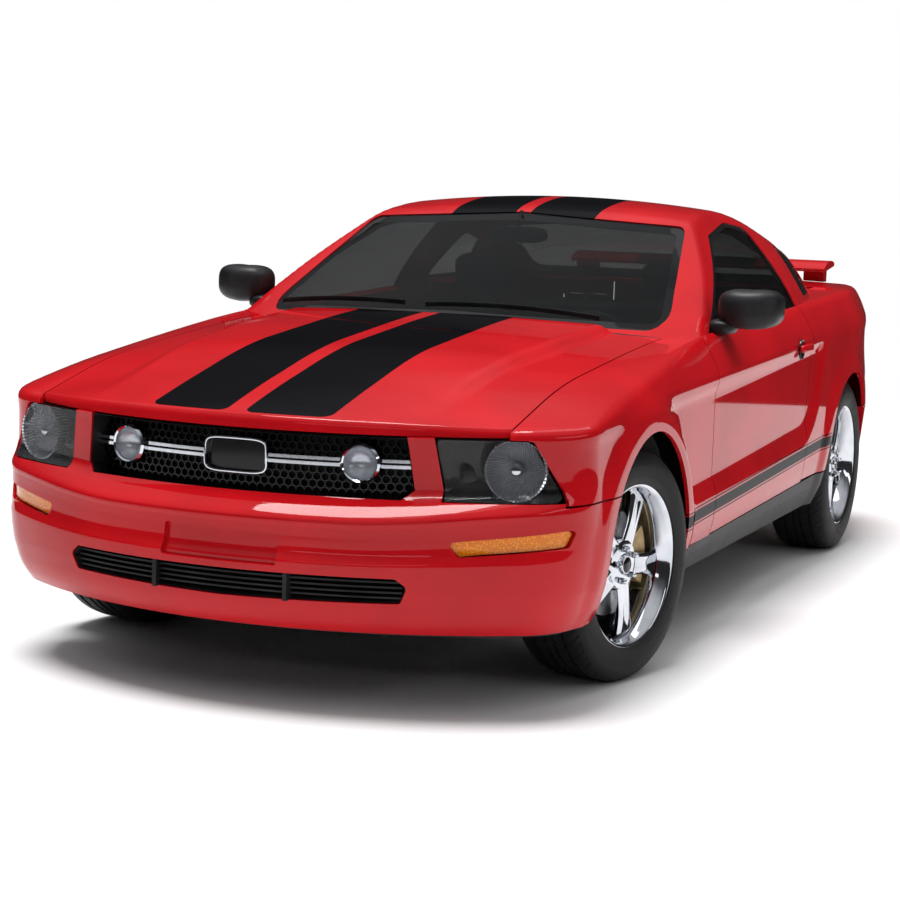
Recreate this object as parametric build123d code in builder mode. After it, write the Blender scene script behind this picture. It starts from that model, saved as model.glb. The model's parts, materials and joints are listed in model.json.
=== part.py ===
"""Two-door fastback muscle car, full size, as an assembly of separate pieces.

Frame: +X forward, +Y to the left, +Z up, millimetres. The origin lies on the ground
under the middle of the car. The road wheels stand turned a little to the right.
"""
from build123d import *
import os
from math import cos, hypot, radians, sin, sqrt, tan

# ---- overall ------------------------------------------------------------------------
LENGTH = 4765.0
WHEELBASE = 2720.0
FRONT_OVERHANG = 955.0
TRACK_FRONT = 1580.0
TRACK_REAR = 1588.0
NOSE_X = LENGTH / 2
TAIL_X = -LENGTH / 2
FRONT_AXLE_X = NOSE_X - FRONT_OVERHANG
REAR_AXLE_X = FRONT_AXLE_X - WHEELBASE

# ---- wheels -------------------------------------------------------------------------
TYRE_RADIUS = 346.0
TYRE_WIDTH = 235.0
TYRE_SHOULDER = 22.0
RIM_RADIUS = 232.0  # bead seat
RIM_LIP_RADIUS = 246.0
RIM_WIDTH = 216.0
RIM_WALL = 9.0
SPOKES = 5
SPOKE_WIDTH = 62.0
SPOKE_DEPTH = 34.0
SPOKE_BACK = 52.0  # spoke's rear face, outward from the wheel's middle
HUB_RADIUS = 76.0
CAP_RADIUS = 30.0
BORE_RADIUS = 24.0
STUD_CIRCLE_RADIUS = 57.15
LUG_RADIUS = 10.0
LUG_LENGTH = 16.0
DISC_RADIUS = 158.0
DISC_THICKNESS = 28.0
DISC_FACE = 24.0  # disc's outer face, outward from the wheel's middle
SPINDLE_GAP = 0.3

# ---- steering -----------------------------------------------------------------------
STEER_REST = -12.0  # degrees about the kingpins, turned to the right
KINGPIN_LOW = (735.0, 205.0)  # y, z of the lower ball joint
KINGPIN_HIGH = (560.0, 860.0)  # y, z of the strut's top mount
STEER_LIFT = 1.0  # the hubs stand this much higher when straight than when turned

# ---- panels -------------------------------------------------------------------------
FRONT_ARCH_RADIUS = 396.0
REAR_ARCH_RADIUS = 382.0
LINER_RADIUS = 424.0
FLARE_WIDTH = 44.0  # round lip of each wheel opening
FLARE_RISE = 14.0
PANEL_GAP = 6.0
SEAT_GAP = 0.3
SKIN = 26.0  # hood, deck lid, fenders and bumper covers
QUARTER_WALL = 85.0
DOOR_INNER_Y = 790.0
SILL_INNER_Y = 784.0
PILLAR = 46.0
ROOF_SKIN = 30.0
GLASS_INSET = 8.0
GLASS = 6.0
GLASS_FOOT = PANEL_GAP - SEAT_GAP  # the door glass reaches down to the door's top
HANDLE = (-515.0, -360.0, 862.0, 892.0)  # x and z ranges
HANDLE_Y = (880.0, 944.0)

WINDOW_INNER_Y = 575.0
ARCH_OUTER_Y = 1000.0

# ---- body shape ---------------------------------------------------------------------
# Plan shape: radii of the front, its corner, the side's rear sweep, the rear corner and
# the rear, from front to back.
BODY_PLAN = (1400.0, 300.0, 2200.0, 210.0, 2500.0)
CAB_PLAN = (1650.0, 150.0, 2500.0, 90.0, 6000.0)
BODY_SWEEP_X = -1350.0  # where the body's side begins to sweep in

# Body levels, bottom to top: height at x = 0, rake in degrees (falls towards the
# nose), half width, how far nose and tail stand back from the car's ends.
LEVELS = [
    # z, rake, half_width, nose_back, tail_back
    (205.0, 0.0, 846.0, 92.0, 50.0),
    (300.0, 0.6, 893.0, 30.0, 16.0),
    (500.0, 2.0, 922.0, 2.0, 2.0),
    (622.0, 2.0, 902.0, 0.0, 0.0),
    (700.0, 2.0, 898.0, 95.0, 62.0),
    (836.0, 2.0, 904.0, 76.0, 70.0),
    (857.0, 2.0, 922.0, 70.0, 72.0),
    (1000.0, 2.0, 850.0, 60.0, 60.0),
    (1070.0, 2.0, 780.0, 60.0, 60.0),
]
# Upper surface of hood, waist and deck: station, height on the centre line, at the
# hood seam and beyond the widest point, and how far the haunch swells between them.
SEAM_Y = 735.0
EDGE_Y = 975.0
TOP = [
    # x, z_centre, z_seam, z_edge, swell
    (2420.0, 772.0, 722.0, 690.0, 8.0),
    (2160.0, 852.0, 775.0, 740.0, 12.0),
    (1720.0, 925.0, 886.0, 800.0, 14.0),
    (1070.0, 988.0, 945.0, 895.0, 10.0),
    (735.0, 1008.0, 966.0, 950.0, 4.0),
    (600.0, 980.0, 978.9, 978.0, 0.3),
    (-1690.0, 1060.0, 1058.9, 1058.0, 0.3),
    (-2250.0, 1064.0, 1045.0, 1000.0, 8.0),
    (-2420.0, 1045.0, 1008.0, 950.0, 8.0),
]
BELT_Z = 1000.0
BELT_RAKE = 2.0
# Cab levels: height at x = 0, rake, half width, windscreen and rear window on the
# centre line, and where the side begins to sweep in.
CAB = [
    # z, rake, half_width, front_x, rear_x, sweep_x
    (BELT_Z, BELT_RAKE, 842.0, 905.0, -1690.0, -600.0),
    (1165.0, 1.0, 742.0, 520.0, -1330.0, -600.0),
    (1317.0, 0.0, 617.0, 185.0, -850.0, -500.0),
    (1430.0, 0.0, 524.0, -71.0, -505.0, -300.0),
]
ROOF_Z = 1407.0
CROWN_X = -320.0
CROWN_LONG_RADIUS = 1800.0
CROWN_CROSS_RADIUS = 4500.0
CROWN_REACH = 430.0  # the roof's crown runs out straight beyond this

# ---- panel lines --------------------------------------------------------------------
DOOR_FRONT_X = 690.0
DOOR_REAR_LOW_X = -560.0
DOOR_REAR_HIGH_X = -632.0
SILL_TOP_FRONT_Z = 327.0
SILL_TOP_REAR_Z = 366.0
SILL_BOTTOM_Z = 232.0
REAR_BUMPER_SEAM_X = -1960.0
REAR_BUMPER_TOP_Z = 735.0
FENDER_FOOT_Z = 590.0
HOOD_LIP_Z = 770.0
HOOD_REAR_X = 925.0
HOOD_REAR_CORNER_X = 745.0
COWL_REAR_X = 700.0
DECK_FRONT_X = -1745.0
DECK_HALF_WIDTH = 610.0
DECK_FACE_HALF_WIDTH = 430.0
PLATE_DEPTH = 20.0
PLATE_SCREW_SPACING = 178.0
PLATE_SCREW_RADIUS = 3.5
FRONT_PLATE_Z = 458.0
REAR_PLATE_Z = 630.0
LAMP_REAR_X = 1850.0
LAMP_GAP = 0.5
TAIL_PIPE_Y = 520.0
TAIL_PIPE_Z = 300.0
FLOOR_Z = 228.0
FLOOR_PLATE = 20.0

os.makedirs("parts", exist_ok=True)


# ---- outlines and envelopes ---------------------------------------------------------
def on_circle(centre, radius, toward):
    """The point of a circle that lies in the direction of another point."""
    dx, dy = toward[0] - centre[0], toward[1] - centre[1]
    length = hypot(dx, dy)
    return (centre[0] + radius * dx / length, centre[1] + radius * dy / length)


def arc_about(centre, radius, start, end):
    """A round stretch of an outline about a known centre."""
    middle = ((start[0] + end[0]) / 2, (start[1] + end[1]) / 2)
    ThreePointArc(start, on_circle(centre, radius, middle), end)


def meeting(centre_a, radius_a, centre_b, radius_b):
    """The meeting point of two circles that lies farther to the left of the car."""
    dx, dy = centre_b[0] - centre_a[0], centre_b[1] - centre_a[1]
    apart = hypot(dx, dy)
    along = (apart**2 + radius_a**2 - radius_b**2) / (2 * apart)
    across = sqrt(radius_a**2 - along**2)
    found = [
        (
            centre_a[0] + (along * dx - side * across * dy) / apart,
            centre_a[1] + (along * dy + side * across * dx) / apart,
        )
        for side in (1, -1)
    ]
    return max(found, key=lambda point: point[1])


def raked(z, rake):
    """A level plane that falls towards the nose."""
    tilt = radians(rake)
    return Plane(
        origin=(0, 0, z), x_dir=(cos(tilt), 0, -sin(tilt)), z_dir=(sin(tilt), 0, cos(tilt))
    )


def outline(half_width, front_x, rear_x, sweep_x, plan, inset):
    """Left half of a plan: front, corner, side, rear sweep, rear corner, rear."""
    front_r, corner_r, sweep_r, rear_corner_r, rear_r = plan
    front_c = (front_x - front_r, 0)
    side_y = half_width - corner_r
    corner_c = (front_c[0] + sqrt((front_r - corner_r) ** 2 - side_y**2), side_y)
    sweep_c = (sweep_x, half_width - sweep_r)
    rear_c = (rear_x + rear_r, 0)
    rear_corner_c = meeting(sweep_c, sweep_r - rear_corner_r, rear_c, rear_r - rear_corner_r)
    front_end = on_circle(front_c, front_r - inset, corner_c)
    side_front = (corner_c[0], half_width - inset)
    side_rear = (sweep_x, half_width - inset)
    sweep_end = on_circle(sweep_c, sweep_r - inset, rear_corner_c)
    rear_start = on_circle(rear_c, rear_r - inset, rear_corner_c)
    arc_about(front_c, front_r - inset, (front_x - inset, 0), front_end)
    arc_about(corner_c, corner_r - inset, front_end, side_front)
    Line(side_front, side_rear)
    arc_about(sweep_c, sweep_r - inset, side_rear, sweep_end)
    arc_about(rear_corner_c, rear_corner_r - inset, sweep_end, rear_start)
    arc_about(rear_c, rear_r - inset, rear_start, (rear_x + inset, 0))
    Line((rear_x + inset, 0), (front_x - inset, 0))


def under_top(drop):
    """Left half of the space below hood, waist and deck, lowered by drop."""
    with BuildPart() as below:
        for x, z_centre, z_seam, z_edge, swell in TOP:
            with BuildSketch(Plane.YZ.offset(x)):
                with BuildLine():
                    centre = (0, z_centre - drop)
                    crown = (SEAM_Y / 2, z_centre - drop - (z_centre - z_seam) / 4)
                    seam = (SEAM_Y, z_seam - drop)
                    haunch = ((SEAM_Y + EDGE_Y) / 2, (z_seam + z_edge) / 2 - drop + swell)
                    edge = (EDGE_Y, z_edge - drop)
                    ThreePointArc(centre, crown, seam)
                    ThreePointArc(seam, haunch, edge)
                    Line(edge, (EDGE_Y, 0))
                    Line((EDGE_Y, 0), (0, 0))
                    Line((0, 0), centre)
                make_face()
        loft(ruled=True)
    return below.part


def body_envelope(inset=0.0, drop=0.0):
    """Left half of the lower body, sides moved in by inset and top lowered by drop."""
    top = under_top(drop)
    with BuildPart() as envelope:
        for z, rake, half_width, nose_back, tail_back in LEVELS:
            with BuildSketch(raked(z, rake)):
                with BuildLine():
                    nose_x = (NOSE_X - nose_back) / cos(radians(rake))
                    tail_x = (TAIL_X + tail_back) / cos(radians(rake))
                    outline(half_width, nose_x, tail_x, BODY_SWEEP_X, BODY_PLAN, inset)
                make_face()
        loft(ruled=True)
        add(top, mode=Mode.INTERSECT)
    return envelope.part


def cab_envelope(inset=0.0, drop=0.0, foot=0.0):
    """Left half of the cab: sides moved in by inset, roof and foot lowered."""
    top_z = ROOF_Z - drop
    arc_z = top_z - CROWN_LONG_RADIUS + sqrt(CROWN_LONG_RADIUS**2 - CROWN_REACH**2)
    slope = CROWN_REACH / sqrt(CROWN_LONG_RADIUS**2 - CROWN_REACH**2)
    run = WHEELBASE / 2
    with BuildPart() as crown:
        with BuildSketch(Plane.XZ):
            with BuildLine():
                front = (CROWN_X + CROWN_REACH, arc_z)
                rear = (CROWN_X - CROWN_REACH, arc_z)
                ThreePointArc(front, (CROWN_X, top_z), rear)
                Polyline(
                    rear,
                    (rear[0] - run, arc_z - slope * run),
                    (rear[0] - run, 0),
                    (front[0] + run, 0),
                    (front[0] + run, arc_z - slope * run),
                    front,
                )
            make_face()
        revolve(axis=Axis((0, 0, ROOF_Z - CROWN_CROSS_RADIUS), (-1, 0, 0)), revolution_arc=13)
    with BuildPart() as envelope:
        for level, (z, rake, half_width, front_x, rear_x, sweep_x) in enumerate(CAB):
            with BuildSketch(raked(z - foot if level == 0 else z, rake)):
                with BuildLine():
                    outline(half_width, front_x, rear_x, sweep_x, CAB_PLAN, inset)
                make_face()
        loft(ruled=True)
        add(crown.part, mode=Mode.INTERSECT)
    return envelope.part


# ---- regions ------------------------------------------------------------------------
def belt(x, lift=0.0):
    """Height of the waist line at a station."""
    return BELT_Z - x * tan(radians(BELT_RAKE)) + lift


def side_prism(points, y_in, y_out):
    """A prism across the car on an outline given in x and z."""
    with BuildPart() as prism:
        with BuildSketch(Plane.XZ.offset(-y_out)):
            with BuildLine():
                Polyline(*points, close=True)
            make_face()
        extrude(amount=y_out - y_in)
    return prism.part


def front_prism(points, x_rear, x_front, grow=0.0):
    """A prism along the car on an outline given in y and z."""
    with BuildPart() as prism:
        with BuildSketch(Plane.YZ.offset(x_rear)):
            with BuildLine():
                Polyline(*points, close=True)
            make_face()
            if grow:
                offset(amount=grow, kind=Kind.INTERSECTION)
        extrude(amount=x_front - x_rear)
    return prism.part


def block(x0, x1, y0, y1, z0, z1):
    """A box between six planes."""
    with BuildPart() as box:
        with Locations(((x0 + x1) / 2, (y0 + y1) / 2, (z0 + z1) / 2)):
            Box(x1 - x0, y1 - y0, z1 - z0)
    return box.part


def arch(x, radius, y_in, y_out):
    """A round wheel opening across the car's side."""
    with BuildPart() as opening:
        with BuildSketch(Plane.XZ.offset(-y_out)):
            with Locations((x, TYRE_RADIUS)):
                Circle(radius)
        extrude(amount=y_out - y_in)
    return opening.part


def both_sides(half):
    """A piece with its mirror image."""
    with BuildPart() as whole:
        add(half)
        mirror(about=Plane.XZ)
    return whole.part


def finish(part, name):
    """Label a piece and write it."""
    part.label = name
    export_step(part, f"parts/{name}.step")


body = body_envelope()
body_inner = body_envelope(SKIN, SKIN)
body_shell = body - body_inner
body_proud = body_envelope(-FLARE_RISE)
lips = Part() + [
    arch(x, radius + FLARE_WIDTH, WINDOW_INNER_Y, ARCH_OUTER_Y) & body_proud
    for x, radius in ((FRONT_AXLE_X, FRONT_ARCH_RADIUS), (REAR_AXLE_X, REAR_ARCH_RADIUS))
]
flared_body = body + lips
flared_shell = flared_body - body_inner
cab = cab_envelope()
cab_shell = cab - cab_envelope(PILLAR, ROOF_SKIN)
glass_outer = cab_envelope(GLASS_INSET, GLASS_INSET, GLASS_FOOT)
glass_shell = glass_outer - cab_envelope(GLASS_INSET + GLASS, GLASS_INSET + GLASS, GLASS_FOOT)
FAR = 3000.0

# ---- outlines of openings and panels ------------------------------------------------
SCREEN_OPENING = [(-1, 1003), (735, 990), (592, 1312), (-1, 1352)]
REAR_OPENING = [(-1, 1082), (590, 1082), (500, 1298), (-1, 1338)]
DOOR_WINDOW = [(640, 950), (-55, 1280), (-380, 1325), (-612, 1305), (-632, 960)]
QUARTER_WINDOW = [(-850, 1046), (-1182, 1058), (-1096, 1232), (-915, 1262)]
HEADLAMP = [(556, 764), (790, 764), (876, 600), (582, 600)]
GRILLE_OPENING = [(-1, 764), (488, 764), (506, 626), (478, 600), (-1, 600)]
TURN_LAMP = [(612, 497), (900, 534), (888, 478), (640, 458)]
LOWER_OPENING = [(-1, 396), (490, 396), (520, 372), (500, 326), (-1, 318)]
PLATE_RECESS = [(-1, 504), (172, 504), (176, 412), (-1, 412)]
TAIL_LAMPS = [(452, 542), (556, 646), (660, 744)]  # y ranges of the upright bars
TAIL_LAMP_Z = (800.0, 944.0)


def roof_frame():
    """Roof skin with its pillars, and the filler between rear window and deck lid."""
    with BuildPart() as frame:
        add(cab_shell)
        add(front_prism(SCREEN_OPENING, 0, FAR), mode=Mode.SUBTRACT)
        add(front_prism(REAR_OPENING, -FAR, -600), mode=Mode.SUBTRACT)
        add(side_prism(DOOR_WINDOW, WINDOW_INNER_Y, FAR), mode=Mode.SUBTRACT)
        add(side_prism(QUARTER_WINDOW, WINDOW_INNER_Y, FAR), mode=Mode.SUBTRACT)
    with BuildPart() as filler:
        add(body - body_envelope(SKIN, ROOF_SKIN))
        filler_front = DECK_FRONT_X + 110
        add(
            block(DECK_FRONT_X + PANEL_GAP / 2, filler_front, 0, DECK_HALF_WIDTH, 900, 1200),
            mode=Mode.INTERSECT,
        )
    with BuildPart() as ledge:
        add(block(DECK_FRONT_X - 30, DECK_FRONT_X + 40, 0, 560, 960, 1200))
        add(body_envelope(SKIN, SKIN + SEAT_GAP), mode=Mode.INTERSECT)
    with BuildPart() as shelf:
        add(block(DECK_FRONT_X - 10, -1250, 0, 780, 985, 1005))
        add(body_envelope(QUARTER_WALL, SKIN), mode=Mode.INTERSECT)
    with BuildPart() as whole:
        add(frame.part)
        add(filler.part)
        add(ledge.part)
        add(shelf.part)
        mirror(about=Plane.XZ)
    return whole.part


def door():
    """Left door, from its outer skin to the inner trim."""
    gap = PANEL_GAP / 2
    rear_low = (DOOR_REAR_LOW_X + gap, SILL_TOP_REAR_Z + PANEL_GAP)
    rear_high = (DOOR_REAR_HIGH_X + gap, belt(DOOR_REAR_HIGH_X, -PANEL_GAP))
    front_high = (DOOR_FRONT_X - gap, belt(DOOR_FRONT_X, -PANEL_GAP))
    front_low = (DOOR_FRONT_X - gap, SILL_TOP_FRONT_Z + PANEL_GAP)
    with BuildPart() as leaf:
        add(body)
        add(
            side_prism([rear_low, rear_high, front_high, front_low], DOOR_INNER_Y, FAR),
            mode=Mode.INTERSECT,
        )
        add(block(*HANDLE[:2], *HANDLE_Y, *HANDLE[2:]))
    return leaf.part


def window_pane(points, inset):
    """Left pane of side glass that fits an opening with a gap all round."""
    with BuildPart() as pane:
        with BuildSketch(Plane.XZ.offset(-WINDOW_INNER_Y)):
            with BuildLine():
                Polyline(*points, close=True)
            make_face()
            if inset:
                offset(amount=-inset, kind=Kind.INTERSECTION)
        extrude(amount=-WINDOW_INNER_Y)
        add(glass_shell, mode=Mode.INTERSECT)
    return pane.part


def hood_region(gap):
    """Space of the hood in plan, out to the seam, with its rear line moved by gap."""
    rear = (HOOD_REAR_X + gap, 0)
    corner = (HOOD_REAR_CORNER_X + gap, SEAM_Y)
    middle = ((3 * rear[0] + corner[0]) / 4, SEAM_Y / 2)
    with BuildPart() as region:
        with BuildSketch(Plane.XY):
            with BuildLine():
                ThreePointArc(rear, middle, corner)
                Polyline(corner, (FAR, SEAM_Y), (FAR, 0), rear)
            make_face()
        extrude(amount=FAR)
    return region.part


def hood():
    """Hood skin with its front lip."""
    gap = PANEL_GAP / 2
    with BuildPart() as skin:
        add(body_shell)
        add(hood_region(gap), mode=Mode.INTERSECT)
        add(block(0, FAR, 0, SEAM_Y - gap, HOOD_LIP_Z, FAR), mode=Mode.INTERSECT)
    return both_sides(skin.part)


def cowl():
    """Trim panel between the hood and the windscreen."""
    gap = PANEL_GAP / 2
    with BuildPart() as panel:
        add(body_shell)
        add(block(COWL_REAR_X, HOOD_REAR_X, 0, SEAM_Y - gap, 800, 1200), mode=Mode.INTERSECT)
        add(hood_region(-gap), mode=Mode.SUBTRACT)
        add(cab, mode=Mode.SUBTRACT)
    return both_sides(panel.part)


def front_fender():
    """Left front fender from headlamp to door, with the wheel opening."""
    gap = PANEL_GAP / 2
    outline_xz = [
        (DOOR_FRONT_X + gap, SILL_TOP_FRONT_Z + 2),
        (DOOR_FRONT_X + gap, 1200),
        (FAR, 1200),
        (FAR, FENDER_FOOT_Z),
        (2040, FENDER_FOOT_Z),
        (FRONT_AXLE_X, FENDER_FOOT_Z - 20),
        (FRONT_AXLE_X, SILL_TOP_FRONT_Z + 2),
    ]
    with BuildPart() as panel:
        add(flared_shell)
        add(side_prism(outline_xz, SEAM_Y + gap, FAR), mode=Mode.INTERSECT)
        add(arch(FRONT_AXLE_X, FRONT_ARCH_RADIUS, 500, ARCH_OUTER_Y), mode=Mode.SUBTRACT)
        add(front_prism(HEADLAMP, LAMP_REAR_X, FAR, LAMP_GAP), mode=Mode.SUBTRACT)
    return panel.part


def plate_screw(x, z):
    """Left screw hole of a number plate."""
    with BuildPart() as hole:
        with BuildSketch(Plane.YZ.offset(x - 60)):
            with Locations((PLATE_SCREW_SPACING / 2, z)):
                Circle(PLATE_SCREW_RADIUS)
        extrude(amount=120)
    return hole.part


def front_bumper():
    """Bumper cover with the grille surround, lower opening and plate recess."""
    outline_xz = [
        (FRONT_AXLE_X, 190),
        (FAR, 190),
        (FAR, HOOD_LIP_Z - 5),
        (2040, HOOD_LIP_Z - 5),
        (2040, FENDER_FOOT_Z - 1),
        (FRONT_AXLE_X, FENDER_FOOT_Z - 21),
    ]
    with BuildPart() as cover:
        add(flared_shell)
        add(side_prism(outline_xz, 0, FAR), mode=Mode.INTERSECT)
        add(block(1000, FAR, SEAM_Y, FAR, FENDER_FOOT_Z - 0.5, 1200), mode=Mode.SUBTRACT)
        add(arch(FRONT_AXLE_X, FRONT_ARCH_RADIUS, 500, ARCH_OUTER_Y), mode=Mode.SUBTRACT)
        for points, grow in (
            (HEADLAMP, LAMP_GAP),
            (GRILLE_OPENING, 0.0),
            (TURN_LAMP, 0.0),
            (LOWER_OPENING, 0.0),
        ):
            add(front_prism(points, 1500, FAR, grow), mode=Mode.SUBTRACT)
        add(front_prism(PLATE_RECESS, NOSE_X - PLATE_DEPTH, FAR), mode=Mode.SUBTRACT)
        add(plate_screw(NOSE_X, FRONT_PLATE_Z), mode=Mode.SUBTRACT)
    return both_sides(cover.part)


def behind_opening(points, x_rear, depth_in, depth_out, grow=0.0):
    """Layer of the nose behind an opening, between two depths below the surface."""
    with BuildPart() as layer:
        add(body_envelope(depth_in, depth_in))
        add(body_envelope(depth_out, depth_out), mode=Mode.SUBTRACT)
        add(front_prism(points, x_rear, FAR, grow), mode=Mode.INTERSECT)
    return layer.part


GRILLE_Z = 691.0
GRILLE_BAR = 14.0
GRILLE_BACK = 18.0  # floor of the grille's tray, below the skin
FOG_LAMP_Y = 356.0
FOG_LAMP_RADIUS = 62.0
EMBLEM_FRAME = (94.0, 50.0, 12.0)  # half width, half height, bar
LOWER_SLATS = (344.0, 370.0)


def grille():
    """Upper and lower grilles: a tray behind each opening, with bars, frame and lamp."""
    half_width, half_height, bar = EMBLEM_FRAME
    tray_z = (GRILLE_Z - GRILLE_BAR / 2, GRILLE_Z + GRILLE_BAR / 2)
    bars = block(2000, FAR, half_width, 500, *tray_z)
    bars += block(2000, FAR, 0, half_width, GRILLE_Z - half_height, GRILLE_Z + half_height)
    bars -= block(
        2000,
        FAR,
        -1,
        half_width - bar,
        GRILLE_Z - half_height + bar,
        GRILLE_Z + half_height - bar,
    )
    with BuildPart() as lamp:
        with BuildSketch(Plane.YZ.offset(2000)):
            with Locations((FOG_LAMP_Y, GRILLE_Z)):
                Circle(FOG_LAMP_RADIUS)
        extrude(amount=FAR - 2000)
    bars += lamp.part
    for z in LOWER_SLATS:
        bars += block(2000, FAR, 0, 510, z - 4, z + 4)
    with BuildPart() as panels:
        for points in (GRILLE_OPENING, LOWER_OPENING):
            add(behind_opening(points, 2000, SKIN, SKIN + GRILLE_BACK + 8, 14.0))
            tray = behind_opening(points, 2000, SKIN - 1, SKIN + GRILLE_BACK, 0.0)
            add(tray, mode=Mode.SUBTRACT)
        for points in (GRILLE_OPENING, LOWER_OPENING):
            layer = behind_opening(points, 2000, SKIN - 14, SKIN + GRILLE_BACK + 4, -0.4)
            add(layer & bars)
    return panels.part


def front_lamps():
    """Headlamp and turn lamp, left pair."""
    with BuildPart() as lamps:
        add(behind_opening(HEADLAMP, LAMP_REAR_X, 3.0, 110.0))
        add(behind_opening(TURN_LAMP, LAMP_REAR_X, 3.0, 40.0))
    return lamps.part


def rear_bumper():
    """Rear bumper cover."""
    outline_xz = [
        (REAR_AXLE_X, 230),
        (-FAR, 250),
        (-FAR, REAR_BUMPER_TOP_Z),
        (REAR_BUMPER_SEAM_X, REAR_BUMPER_TOP_Z),
        (REAR_BUMPER_SEAM_X + 140, 560),
        (REAR_AXLE_X, 560),
    ]
    with BuildPart() as cover:
        add(flared_shell)
        add(side_prism(outline_xz, 0, FAR), mode=Mode.INTERSECT)
        add(arch(REAR_AXLE_X, REAR_ARCH_RADIUS, 500, ARCH_OUTER_Y), mode=Mode.SUBTRACT)
        add(block(-FAR, TAIL_X + PLATE_DEPTH, -1, 170, 560, 700), mode=Mode.SUBTRACT)
        add(plate_screw(TAIL_X, REAR_PLATE_Z), mode=Mode.SUBTRACT)
        notch = block(
            -FAR, -1900, TAIL_PIPE_Y - 60, TAIL_PIPE_Y + 60, 0, TAIL_PIPE_Z + 60
        )
    with BuildPart() as notched:
        add(both_sides(cover.part))
        add(notch, mode=Mode.SUBTRACT)
    return notched.part


def quarter():
    """Left quarter panel with its inner wall, wheel opening and tail corner."""
    gap = PANEL_GAP / 2
    top = 1300.0
    outline_xz = [
        (DOOR_REAR_LOW_X - gap, SILL_TOP_REAR_Z),
        (DOOR_REAR_HIGH_X - gap, belt(DOOR_REAR_HIGH_X)),
        (DOOR_REAR_HIGH_X - gap, top),
        (-FAR, top),
        (-FAR, REAR_BUMPER_TOP_Z + 1),
        (REAR_BUMPER_SEAM_X, REAR_BUMPER_TOP_Z + 1),
        (REAR_BUMPER_SEAM_X + 140, 561),
        (REAR_AXLE_X, 561),
        (REAR_AXLE_X, SILL_TOP_REAR_Z),
    ]
    with BuildPart() as cab_floor:
        with BuildSketch(raked(BELT_Z - 100, BELT_RAKE)):
            with BuildLine():
                outline(*CAB[0][2:], CAB_PLAN, PILLAR)
            make_face()
        extrude(amount=200)
    deck_x = DECK_FRONT_X + gap
    tail_top = TAIL_LAMP_Z[1] + 10
    with BuildPart() as panel:
        add(flared_body)
        add(body_envelope(QUARTER_WALL, ROOF_SKIN), mode=Mode.SUBTRACT)
        add(side_prism(outline_xz, 0, FAR), mode=Mode.INTERSECT)
        add(cab_floor.part, mode=Mode.SUBTRACT)
        add(cab, mode=Mode.SUBTRACT)
        lid_width = DECK_HALF_WIDTH + gap
        face_width = DECK_FACE_HALF_WIDTH + gap
        add(block(-FAR, DECK_FRONT_X + 110, -1, lid_width, tail_top, top), mode=Mode.SUBTRACT)
        add(block(-FAR, deck_x, -1, face_width, TAIL_LAMP_Z[0] - 15, top), mode=Mode.SUBTRACT)
        add(arch(REAR_AXLE_X, REAR_ARCH_RADIUS, 500, ARCH_OUTER_Y), mode=Mode.SUBTRACT)
        for y0, y1 in TAIL_LAMPS:
            pocket = block(-FAR, REAR_BUMPER_SEAM_X, y0, y1, *TAIL_LAMP_Z)
            add(pocket & body_shell, mode=Mode.SUBTRACT)
    return panel.part


def tail_lamps():
    """Left tail lamp bars."""
    with BuildPart() as bars:
        layer = body_envelope(3, 3) - body_inner
        for y0, y1 in TAIL_LAMPS:
            add(block(-FAR, REAR_BUMPER_SEAM_X, y0, y1, *TAIL_LAMP_Z) & layer)
    return bars.part


def deck_lid():
    """Deck lid: top skin and the upright face between the tail lamps."""
    gap = PANEL_GAP / 2
    tail_top = TAIL_LAMP_Z[1] + 10
    with BuildPart() as region:
        add(block(-FAR, DECK_FRONT_X - gap, 0, DECK_HALF_WIDTH - gap, tail_top + PANEL_GAP, 1200))
        add(block(-FAR, -2200, 0, DECK_FACE_HALF_WIDTH - gap, TAIL_LAMP_Z[0] - 9, 1200))
    with BuildPart() as lid:
        add(body_shell)
        add(region.part, mode=Mode.INTERSECT)
    return both_sides(lid.part)


def sill():
    """Left sill below door and fender, between the wheel openings."""
    outline_xz = [
        (FRONT_AXLE_X - FRONT_ARCH_RADIUS + 12, SILL_BOTTOM_Z),
        (FRONT_AXLE_X - FRONT_ARCH_RADIUS + 12, SILL_TOP_FRONT_Z - 10),
        (DOOR_FRONT_X, SILL_TOP_FRONT_Z),
        (DOOR_REAR_LOW_X, SILL_TOP_REAR_Z),
        (REAR_AXLE_X + REAR_ARCH_RADIUS - 12, SILL_TOP_REAR_Z),
        (REAR_AXLE_X + REAR_ARCH_RADIUS - 12, SILL_BOTTOM_Z + 10),
    ]
    with BuildPart() as rocker:
        add(flared_body)
        add(side_prism(outline_xz, SILL_INNER_Y, FAR), mode=Mode.INTERSECT)
        add(arch(FRONT_AXLE_X, FRONT_ARCH_RADIUS, 500, ARCH_OUTER_Y), mode=Mode.SUBTRACT)
        add(arch(REAR_AXLE_X, REAR_ARCH_RADIUS, 500, ARCH_OUTER_Y), mode=Mode.SUBTRACT)
    return rocker.part


# ---- structure, interior and running gear -------------------------------------------
CABIN_REAR_X = -1000.0
TANK_FRONT_X = -560.0
TANK_FLOOR_Z = 360.0
BOOT_FLOOR_Z = 480.0
TUNNEL_HALF_WIDTH = 150.0
TUNNEL_TOP_Z = 440.0
FIREWALL_X = 760.0
RAIL_Y = (380.0, 440.0)
APRON_Y = (440.0, 460.0)
SHELF_Z = 742.0
NOSE_PLATE_X = 2060.0
SPRING_RADIUS = 60.0
TOWER_WALL = 9.0
ROD_RADIUS = 11.0
BALL_PIN_RADIUS = 9.0
DIFF_RADIUS = 120.0
AXLE_TUBE_RADIUS = 38.0
SHAFT_Z = 335.0
GEARBOX_REAR_X = 480.0
DIFF_NOSE_X = REAR_AXLE_X + 150.0
REAR_SPRING_Y = 480.0

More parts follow.
